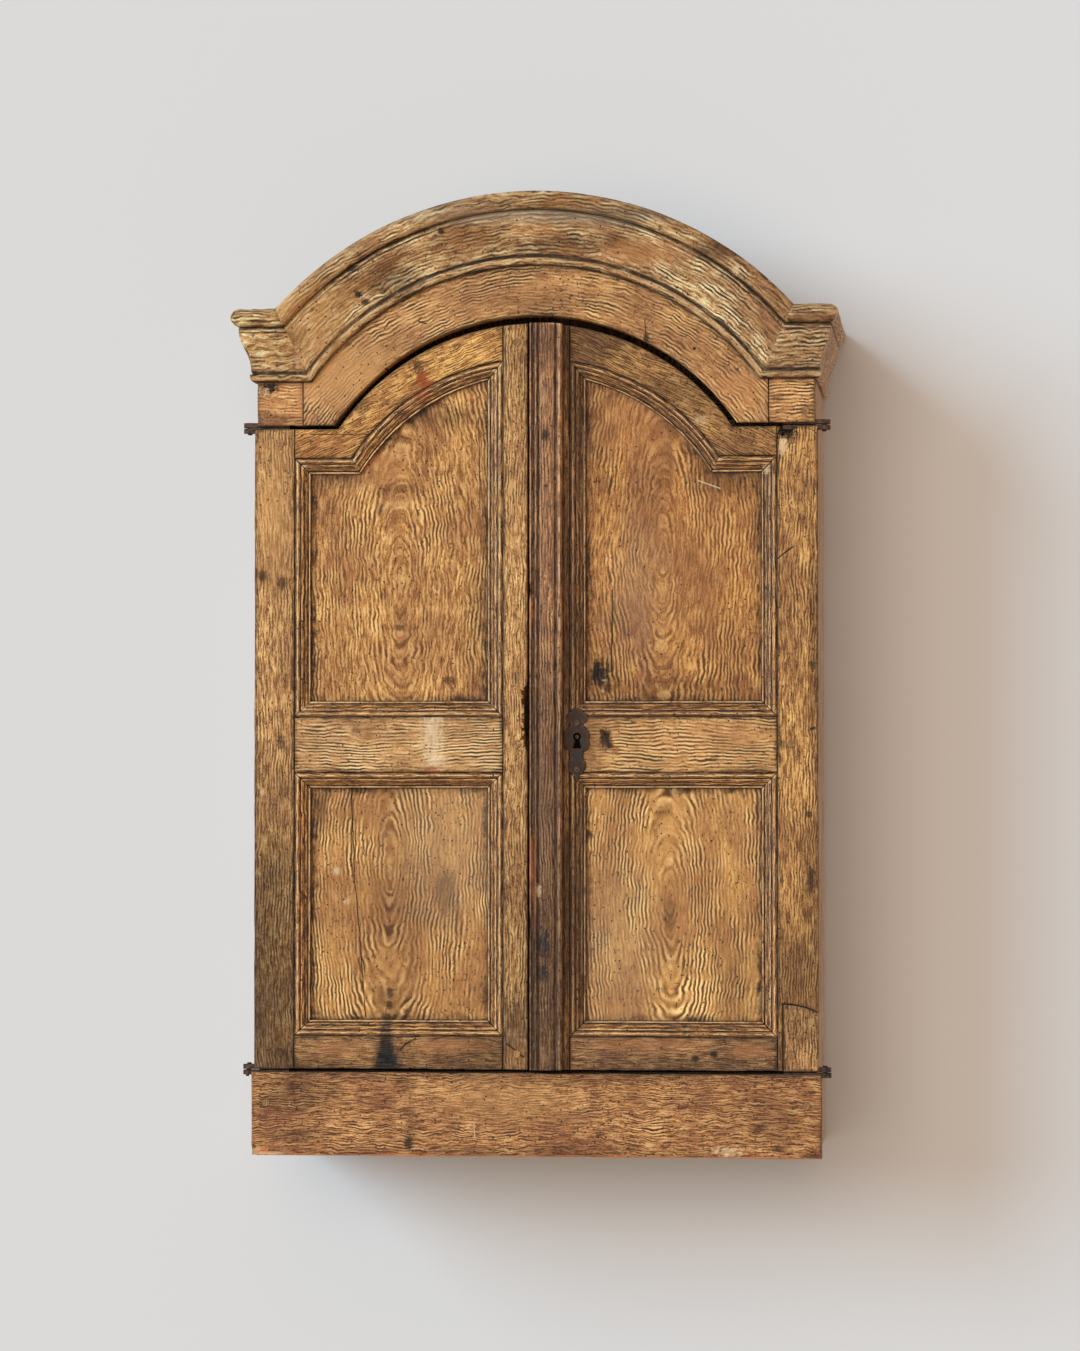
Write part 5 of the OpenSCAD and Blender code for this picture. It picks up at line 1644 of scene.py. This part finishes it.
@dataclass
class Door:
    """A framed door: stiles, rails, two panels, mitred mouldings, pegs and hinge leaves."""

    hand: Hand
    hearts: tuple[Pair, Pair]
    seed: int
    marks: dict[str, tuple[Mark, ...]]
    nicks: dict[str, tuple[Nick, ...]]
    shades: dict[str, Triple]
    panel_round: float = 0.6
    panel_tapers: Pair = (0.2, 0.24)
    panel_figures: Pair = (0.6, 0.85)
    stile_taper: float = 0.04
    arch_centre: float = 623.0
    arch_radius: float = 240.0
    ear_height: float = 756.0
    ear_mitre: Pair = (199.8, 190.5)
    moulding_width: float = 17.0

    def name(self, part: str) -> str:
        """The node name of a part of this door."""
        return f"{self.hand.value[0]}_{part}"

    def shade(self, finish: OakFinish, part: str) -> OakFinish:
        """The finish in the shade of a part of this door."""
        return finish.shaded(*self.shades[part])

    def board(self, part: str, slot: str, seed: int, **sizes: object) -> bpy.types.Object:
        """Carves one board of the door.

        Args:
            part: which board.
            slot: the record's material slot.
            seed: chooses its pattern of wear.
            sizes: the board's other sizes.

        Returns:
            The board.
        """
        return WornBoard(self.name(part), self.name("door"), slot, seed,
                         nicks=self.nicks.get(part, ()), **sizes).build()

    def build_frame(self) -> None:
        """Carves the stiles and rails, whose grain follows their length."""
        side = self.hand.value[1]
        arm = Run.RIGHT_ARM if side > 0 else Run.LEFT_ARM
        parts = {"hanging_stile": (FRAME_OAK, Run.UPRIGHT, (side * 420.0, 300.0)),
                 "meeting_stile": (FRAME_OAK, Run.UPRIGHT, (side * -110.0, 600.0)),
                 "top_rail": (RAIL_OAK, arm, (side * 60.0, 560.0)),
                 "mid_rail": (LEVEL_OAK, Run.LEVEL, (side * 40.0, 250.0)),
                 "foot_rail": (RAIL_OAK, Run.LEVEL, (side * 200.0, 300.0))}
        for i, (part, (finish, run, heart)) in enumerate(parts.items()):
            piece = self.board(part, "frame_oak", self.seed + i)
            self.shade(finish, part).dress(piece, run, heart, self.stile_taper, self.seed + i,
                                           self.marks.get(part, ()))

    def build_panels(self) -> None:
        """Carves the two panels, whose rings close round a heart."""
        for i, part in enumerate(("upper_panel", "lower_panel")):
            piece = self.board(part, "panel_oak", self.seed + 10 + i, edge_round=self.panel_round,
                               edge_loss=0.1, sway=0.8, pitch=6.0)
            finish = replace(self.shade(PANEL_OAK, part), broad=self.panel_figures[i])
            finish.dress(piece, Run.UPRIGHT, self.hearts[i], self.panel_tapers[i],
                         self.seed + 10 + i, self.marks.get(part, ()))

    def build_mouldings(self) -> None:
        """Wears the mitred strips round both panels, each with the grain along it."""
        for i, part in enumerate(("upper_moulding", "lower_moulding")):
            node = self.name(part)
            piece = WornRun(node, self.name("door"), "moulding_oak", self.seed + 14 + i,
                            (7.0, 0.0, 7.0), sway=0.25, ridge_loss=0.35, nick=0.7,
                            inset=lambda places, n=node, arched=i == 0:
                            self.strip_insets(places, n, arched).min(axis=0)).build()
            finish = self.shade(MOULDING_OAK, part)
            for run in (Run.UPRIGHT, Run.LEVEL, Run.ARCH):
                piece.data.materials.append(finish.material(
                    f"{piece.name}_{run.name.lower()}", run, (900.0, 900.0), 0.0,
                    self.seed + 14 + i, self.marks.get(part, ()), spot(0, self.arch_centre)))
            faces = piece.data.polygons
            strips = self.strip_insets(read(faces, "center", 3), node, i == 0).argmin(axis=0)
            faces.foreach_set("material_index", strips.astype(np.int32))

    def strip_insets(self, places: np.ndarray, node: str, arched: bool) -> np.ndarray:
        """How far places on a moulding lie in from the outer edges of its strips.

        Args:
            places: one place per row.
            node: the moulding.
            arched: whether a strip follows the arch.

        Returns:
            Distances from the upright, level and arched outer edges, one row each.
        """
        x, z = places[:, 0], places[:, 2]
        low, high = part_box(node)
        none = np.ones(len(places))
        upright = np.minimum(x - low.x, high.x - x)
        if not arched:
            return np.array([upright, np.minimum(z - low.z, high.z - z), none])
        ear = spot(0, self.ear_height).z
        outer, inner = (at * MM for at in self.ear_mitre)
        share = (ear - z) / (self.moulding_width * MM)
        beside = (np.abs(x) > outer + (inner - outer) * share - SNAP) & (share > -0.05)
        level = np.minimum(z - low.z, np.where(beside, ear - z, 1.0))
        radius = np.hypot(x, z - spot(0, self.arch_centre).z)
        reach = self.arch_radius * MM - radius
        under = ~beside & (z > ear - 0.02) & (reach > -0.5 * MM)
        return np.array([upright, level, np.where(under, reach, 1.0)])

    def build_fittings(self) -> None:
        """Dresses the pegs and forges the hinge leaves."""
        pegs = KeptPiece(self.name("door_pegs"), PEG_ARRIS).build()
        PEG_OAK.dress(pegs, Run.UPRIGHT, *PEG_GRAIN, self.seed + 17,
                      self.marks.get("hanging_stile", ()))
        forge_leaves(self.name("hinge_leaves"), self.name("door"), self.seed + 18, self.seed)

    def build(self) -> None:
        """Builds the whole door."""
        self.build_frame()
        self.build_panels()
        self.build_mouldings()
        self.build_fittings()


@dataclass
class CoverStrip:
    """The moulded strip on the right door's free edge."""

    seed: int = 90

    def build(self) -> None:
        """Wears and dresses the strip."""
        bites = (Nick((-4, 250), 14, 1.2), Nick((-4, 610), 10, 1), Nick((6, 235), 6, 1.2),
                 Nick((12.3, 778.7), 4, 1))
        strip = WornRun("cover_strip", "right_door", "strip_oak", self.seed, (2.4, 0.0, 4.0),
                        sway=0.6, ridge_loss=0.9, nick=1.4, bites=bites,
                        inset=lambda places: places[:, 0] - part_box("cover_strip")[0].x).build()
        marks = (Trace.KNOT(12.3, 778.7, 3.6, 5.5), Trace.STAIN(14, 150, 34, 190, 1.2),
                 Trace.STAIN(12, 440, 26, 110, 0.7), Trace.STAIN(12, 880, 30, 20, 0.7),
                 Trace.CHIP(5, 288, 3, 6, 0.7), Trace.CHIP(9, 240, 3, 4, 0.5),
                 Trace.GNARL(10, 232, 6, 14, 0.9), Trace.GNARL(9, 200, 6, 8, 0.7),
                 Trace.FRESH(-3, 590, 1.6, 12, 0.7), Trace.FRESH(-3, 318, 1.6, 30, 0.6),
                 Trace.SCORCH(1, 300, 2, 50, 0.35))
        STRIP_OAK.dress(strip, Run.UPRIGHT, (120.0, 500.0), 0.05, self.seed, marks)


@dataclass
class DoorFurniture:
    """What is fixed on the doors: key plate, nails, patch, lock, keeper and slide bolt."""

    seed: int = 100

    def build_key_plate(self) -> None:
        """Hammers the key plate and its nails."""
        plate = WornBoard("key_plate", "right_door", "wrought_iron", self.seed, edge_round=0.7,
                          edge_loss=0.35, sway=0.5, pitch=2.0, rings=(0.3, 0.8)).build()
        IRON.dress(plate, self.seed)
        for i, node in enumerate(("key_plate_nails", "bent_nail", "key_pin")):
            piece = WornRun(node, "right_door", "wrought_iron", self.seed + 1 + i, (0.0, 0.0, 0.0),
                            sway=0.1, ridge_loss=0.2, nick=0.2).build()
            IRON.dress(piece, self.seed + 1 + i)

    def build_patch(self) -> None:
        """Carves the patch let into the right hanging stile."""
        patch = WornBoard("stile_patch", "right_door", "frame_oak", self.seed + 6,
                          edge_round=0.8, edge_loss=0.5).build()
        FRAME_OAK.dress(patch, Run.UPRIGHT, (360.0, 60.0), 0.08, self.seed + 6,
                        (Trace.STAIN(290, 150, 20, 20, 0.7),))

    def build_ironwork(self) -> None:
        """Forges the lock, the keeper and the slide bolt behind the doors."""
        nodes = ("slide_bolt_plate", "slide_bolt_staples", "slide_bolt", "lock_keeper",
                 "lock_plate", "lock_cap", "lock_bolt", "lock_spring")
        for i, node in enumerate(nodes):
            IRON.dress(KeptPiece(node, IRON_ARRIS).build(), self.seed + 10 + i)

    def build(self) -> None:
        """Builds everything fixed on the doors."""
        self.build_key_plate()
        self.build_patch()
        self.build_ironwork()


@dataclass
class CaseFurniture:
    """Pegs, hinge leaves, pins and the nail on the case."""

    seed: int = 130

    def build(self) -> None:
        """Dresses the pegs and forges the iron."""
        pegs = KeptPiece("case_pegs", PEG_ARRIS).build()
        PEG_OAK.dress(pegs, Run.UPRIGHT, *PEG_GRAIN, self.seed)
        forge_leaves("hinge_case_leaves", "case", self.seed + 1, self.seed + 1)
        for i, node in enumerate(("hinge_pins", "side_nail")):
            IRON.dress(KeptPiece(node, IRON_ARRIS).build(), self.seed + 2 + i)


@dataclass(frozen=True)
class Lamp:
    """A soft sun: its name, where it stands, its strength, its spread in degrees, its colour."""

    name: str
    towards: Triple
    strength: float
    spread: float
    colour: Triple

    def build(self) -> None:
        """Hangs the lamp."""
        lamp = bpy.data.lights.new(self.name, "SUN")
        lamp.energy = self.strength
        lamp.color = self.colour
        lamp.angle = math.radians(self.spread)
        light = bpy.data.objects.new(self.name, lamp)
        light.rotation_euler = Vector(self.towards).to_track_quat("Z", "Y").to_euler()
        bpy.context.scene.collection.objects.link(light)


@dataclass
class Studio:
    """A pale wall and floor, soft light and the camera. Lengths are in metres."""

    wall_gap: float = 0.004
    wall_half: float = 4.0
    floor_drop: float = 1.1
    camera_at: Triple = (0.474, -5.272, -0.3965)
    aim: Triple = (0.0058, -0.272, -0.2904)
    lens: float = 123.9
    film: float = 36.0
    far: float = 60.0
    backdrop: Paint = (218, 218, 218)
    sky: Triple = (0.288, 0.216, 0.165)
    sky_lean: float = -0.4
    lamps: tuple[Lamp, ...] = (
        Lamp("window_light", (-0.696, -0.642, 0.321), 2.45, 33.4, (0.557, 0.804, 1.0)),
        Lamp("front_light", (-0.135, -0.987, 0.085), 1.43, 39.6, (1.0, 0.855, 0.726)))

    def pale(self, name: str) -> bpy.types.Material:
        """A pale diffuse finish that only the camera sees, and only from the front.

        Args:
            name: the material's name.

        Returns:
            The material.
        """
        material, w = new_material(name)
        seen = (w.out("LightPath", {}, "Is Camera Ray")
                * (1.0 - w.out("NewGeometry", {}, "Backfacing")))
        paint = w.out("BsdfDiffuse", {"Color": linear(*self.backdrop)})
        links = {0: seen, 1: w.out("BsdfTransparent", {}), 2: paint}
        w.add("OutputMaterial", {0: w.out("MixShader", links)})
        return material

    def sheet(self, name: str, corners: list[Triple]) -> None:
        """One flat pale sheet of the stage.

        Args:
            name: its name.
            corners: its four corners, the paint on the side where they run anticlockwise.
        """
        mesh = bpy.data.meshes.new(name)
        mesh.from_pydata(corners, [], [(0, 1, 2, 3)])
        piece = bpy.data.objects.new(name, mesh)
        bpy.context.scene.collection.objects.link(piece)
        wear_material(piece, self.pale(name + "_paint"))

    def build_stage(self) -> None:
        """Makes the wall just behind the cabinet and the floor well below it."""
        half, ground, y = self.wall_half, CAD_BOX[0].z - self.floor_drop, self.wall_gap
        self.sheet("wall", [(-half, y, ground), (half, y, ground), (half, y, half),
                            (-half, y, half)])
        self.sheet("floor", [(-half, y - 2 * half, ground), (half, y - 2 * half, ground),
                             (half, y, ground), (-half, y, ground)])

    def build_light(self) -> None:
        """Hangs a cool lamp at the left and a warm one in front, under a warm sky."""
        for lamp in self.lamps:
            lamp.build()
        world = bpy.data.worlds.new("sky")
        bpy.context.scene.world = world
        world.use_nodes = True
        w = Wiring(world.node_tree)
        path = w.outs(w.add("LightPath"))
        seen = path.IsCameraRay.top(path.IsGlossyRay).top(path.IsTransmissionRay)
        lean = 1.0 - w.parts(w.out("TexCoord", {}, "Generated")).X * self.sky_lean
        colour = w.blend(seen, w.scaled(self.sky, lean), linear(*self.backdrop))
        w.add("OutputWorld", {0: w.out("Background", {"Color": colour, "Strength": 1.0})})

    def build_camera(self) -> None:
        """Places the camera where the photograph was taken from."""
        data = bpy.data.cameras.new("camera")
        data.sensor_width = self.film
        data.lens = self.lens
        data.clip_end = self.far
        camera = bpy.data.objects.new("camera", data)
        way = Vector(self.aim) - Vector(self.camera_at)
        camera.rotation_euler = way.to_track_quat("-Z", "Y").to_euler()
        camera.location = self.camera_at
        bpy.context.scene.collection.objects.link(camera)
        bpy.context.scene.camera = camera

    def build(self) -> None:
        """Sets up the whole studio."""
        bpy.context.scene.view_settings.view_transform = "Standard"
        self.build_stage()
        self.build_light()
        self.build_camera()


LEFT_MARKS = {
    "hanging_stile": (
        Trace.KNOT(-296.6, 628.6, 4.5, 6), Trace.KNOT(-276, 621, 5, 7),
        Trace.KNOT(-275.5, 450.4, 5, 5, 0.5), Trace.STAIN(-285, 180, 80, 190, 1.12),
        Trace.STAIN(-300, 130, 14, 60, 0.8), Trace.GOLD(-285, 700, 16, 60, 0.8),
        Trace.CHIP(-297, 394, 3, 4, 0.5), Trace.STAIN(-262, 105, 16, 14)),
    "meeting_stile": (
        Trace.STAIN(-18, 850, 22, 40, 0.6), Trace.BARE(-20, 114, 14, 16, 0.2),
        Trace.STAIN(-20, 112, 24, 26, 0.7), Trace.SPLIT(-30, 122, -12, 108, width=1.2),
        # The HOLE at x -7.5 paints the carved notch near black: painted shade inside the gap.
        Trace.STAIN(-22, 150, 20, 22, 0.9), Trace.HOLE(-7.5, 478, 4, 37),
        Trace.KNOT(-20, 518, 6, 6, 0.6), Trace.STAIN(-20, 240, 26, 110, 0.6)),
    "top_rail": (
        Trace.GNARL(-127, 855, 5, 7, 0.75), Trace.SCORCH(-123, 842, 6, 9),
        Trace.SCORCH(-115, 836, 8, 3.6), Trace.SPLIT(-244.7, 782.2, -149.7, 781.5, width=0.6),
        Trace.STAIN(-190, 813, 9, 7)),
    "mid_rail": (
        Trace.BLEACH(-110.8, 458, 9, 24), Trace.BLEACH(-108, 428, 9, 6, 0.9),
        Trace.SCORCH(-112, 417.5, 8, 4, 0.7), Trace.KNOT(-195, 460, 5, 4, 0.5)),
    "foot_rail": (
        Trace.SOOT(-161, 98, 15, 13), Trace.SOOT(-161.3, 108, 11, 14),
        Trace.SOOT(-161.6, 122, 7, 14, 0.9), Trace.SPLIT(-146, 114, -140, 121, width=1.4),
        Trace.SPLIT(-140, 121, -129, 127.5, width=1.2), Trace.STAIN(-50, 108, 60, 22, 0.9),
        Trace.STAIN(-250, 98, 60, 8, 0.6), Trace.BARE(-95, 120, 40, 8, 0.5),
        Trace.BARE(-215, 116, 30, 10, 0.4)),
    "lower_panel": (
        Trace.SPLIT(-200.6, 400, -197, 300, width=0.9),
        Trace.SPLIT(-197, 300, -190, 220, width=0.7), Trace.SPLIT(-190, 220, -185, 150),
        Trace.BLEACH(-217, 308, 3, 3.5), Trace.GNARL(-158, 176, 3, 5, 0.8),
        Trace.GNARL(-159, 163, 2.6, 4, 0.8), Trace.GNARL(-243, 352, 4, 7, 0.6),
        Trace.CHIP(-206, 275, 4, 3, 0.6), Trace.KNOT(-97, 285, 12, 22, 0.45),
        Trace.GREY(-95, 330, 50, 70, 0.6), Trace.STAIN(-158, 270, 22, 60, 0.35),
        Trace.SOOT(-233, 375, 6, 22, 0.5), Trace.STAIN(-158, 170, 18, 14, 0.6)),
    "upper_panel": (
        Trace.BARE(-180, 745, 34, 16, 0.6), Trace.STAIN(-212, 736, 34, 10, 0.7),
        Trace.GNARL(-95, 515, 5, 4, 0.7), Trace.GNARL(-148, 572, 4, 2.6, 0.7),
        Trace.STAIN(-95, 800, 40, 10, 0.7), Trace.KNOT(-170, 700, 5, 8, 0.35),
        Trace.STAIN(-60, 560, 14, 90, 0.5), Trace.SPLIT(-62, 800, -60, 700, width=0.6)),
    "lower_moulding": (
        Trace.SOOT(-161.6, 136, 7, 14, 0.7), Trace.SCRATCH(-243, 330, -242, 180, 0.7, width=0.7)),
    "upper_moulding": (
        Trace.SCORCH(-125, 826, 10, 8, 0.7), Trace.SCRATCH(-50, 820, -50.5, 700, 0.6)),
}
LEFT_SHADES = {"hanging_stile": (1.06, 1.08, 1.06), "meeting_stile": (1.1, 1.12, 1.12),
               "top_rail": (1.32, 1.28, 0.95), "mid_rail": (0.92, 0.92, 0.92),
               "foot_rail": (0.74, 0.7, 0.6), "upper_panel": (0.97, 0.97, 0.84),
               "lower_panel": (0.93, 0.96, 0.88), "upper_moulding": (1.1, 1.1, 0.97),
               "lower_moulding": (1.05, 1.0, 0.85)}
RIGHT_SHADES = {"hanging_stile": (0.93, 0.86, 0.66), "meeting_stile": (0.52, 0.45, 0.3),
                "top_rail": (0.84, 0.78, 0.6), "mid_rail": (0.9, 0.85, 0.73),
                "foot_rail": (0.66, 0.62, 0.6), "upper_panel": (0.78, 0.68, 0.42),
                "lower_panel": (1.0, 1.07, 1.04), "upper_moulding": (0.95, 0.88, 0.72),
                "lower_moulding": (1.0, 0.94, 0.8)}
RIGHT_MARKS = {
    "hanging_stile": (
        Trace.SPLIT(263.3, 645.4, 278.7, 657.5, width=1), Trace.KNOT(288.7, 686.2, 4.5, 5, 0.5),
        Trace.SPLIT(299, 462, 302, 463, width=2.4), Trace.KNOT(268, 445, 5, 5, 0.5),
        Trace.CHIP(268, 767, 4, 9), Trace.GNARL(272.6, 782, 10, 7),
        Trace.GNARL(300, 530, 3, 4, 0.8), Trace.GNARL(296, 370, 3, 3, 0.8),
        Trace.GNARL(298, 300, 4, 12, 0.8), Trace.STAIN(300, 560, 4, 110, 0.8),
        Trace.STAIN(297, 290, 10, 70, 0.7), Trace.STAIN(286, 200, 26, 50, 0.7)),
    "meeting_stile": (
        Trace.STAIN(34, 870, 16, 60, 0.9), Trace.STAIN(36, 560, 12, 120, 0.6),
        Trace.STAIN(40, 250, 20, 150, 0.9)),
    "top_rail": (
        Trace.CHIP(180, 795, 7, 5, 0.5), Trace.STAIN(150, 826, 70, 16, 0.6),
        Trace.STAIN(50, 880, 50, 24, 0.9)),
    "mid_rail": (
        Trace.KNOT(77, 451, 6, 11), Trace.STAIN(58, 447, 12, 26, 0.6),
        Trace.KNOT(194, 430, 5, 3.5, 0.6), Trace.BARE(170, 450, 60, 18, 0.3)),
    "foot_rail": (
        Trace.SOOT(173.2, 106.9, 4, 4), Trace.SOOT(193.8, 112.3, 4.5, 4),
        Trace.STAIN(150, 100, 110, 9, 0.8), Trace.BARE(120, 122, 60, 8, 0.4),
        Trace.BARE(230, 116, 20, 8, 0.5)),
    "upper_panel": (
        Trace.STAIN(70, 519, 17, 20), Trace.GNARL(70, 519, 9, 9, 0.9), Trace.GNARL(67, 527, 4, 8),
        Trace.GNARL(79, 506, 3, 4, 0.8), Trace.CHIP(75, 514.5, 3, 1.2, 0.6),
        Trace.CHIP(72.8, 503, 2, 1.6, 0.6), Trace.STAIN(215, 730, 36, 12, 0.8),
        Trace.STAIN(60, 790, 24, 60, 0.6), Trace.BARE(150, 640, 70, 90, 0.25),
        Trace.STAIN(150, 505, 60, 12, 0.5), Trace.SPLIT(82.5, 524, 84, 612, width=1),
        Trace.HOLE(54, 495, 2.2, 10), Trace.SCRATCH(176.5, 730, 200.2, 721.4, width=1),
        Trace.BARE(110, 790, 50, 40, 0.35), Trace.GREY(110, 610, 30, 70, 0.4)),
    "lower_panel": (
        Trace.GREY(90, 230, 36, 80, 0.5), Trace.KNOT(146, 262, 7, 16, 0.45),
        Trace.STAIN(220, 180, 24, 50, 0.45)),
    "lower_moulding": (
        Trace.SCRATCH(50, 380, 50.5, 200, 0.6), Trace.STAIN(44, 260, 12, 150, 1.1)),
    "upper_moulding": (
        Trace.CHIP(250, 742, 4, 5, 0.8), Trace.STAIN(44, 800, 12, 90, 1.1),
        Trace.STAIN(44, 560, 10, 110, 0.9), Trace.SCRATCH(52, 790, 52.5, 640, 0.5, width=0.7)),
}
LEFT_NICKS = {"hanging_stile": (Nick((-263, 621), 6, 2.5), Nick((-306, 386), 5, 2)),
              "meeting_stile": (Nick((-7.5, 478), 4, 14, 9), Nick((-7.5, 500), 5, 8, 2),
                                Nick((-7.5, 452), 4.6, 8, 2))}
RIGHT_NICKS = {"hanging_stile": (Nick((272.5, 786), 8.5, 9), Nick((264, 776), 4.5, 4)),
               "mid_rail": (Nick((77.5, 452), 5.5, 2),),
               "top_rail": (Nick((258, 757.5), 5, 2),)}


def main() -> None:
    """Builds every sub-assembly in order."""
    logging.basicConfig(level=logging.INFO, format="%(name)s: %(message)s")
    Studio().build()
    Case().build()
    Head().build()
    Apron().build()
    Door(Hand.LEFT, ((-147.5, 601.6), (-158.3, 310.0)), 200, LEFT_MARKS, LEFT_NICKS,
         LEFT_SHADES).build()
    Door(Hand.RIGHT, ((138.7, 644.8), (146.2, 277.6)), 300, RIGHT_MARKS, RIGHT_NICKS,
         RIGHT_SHADES).build()
    CoverStrip().build()
    DoorFurniture().build()
    CaseFurniture().build()


if __name__ == "__main__":
    main()
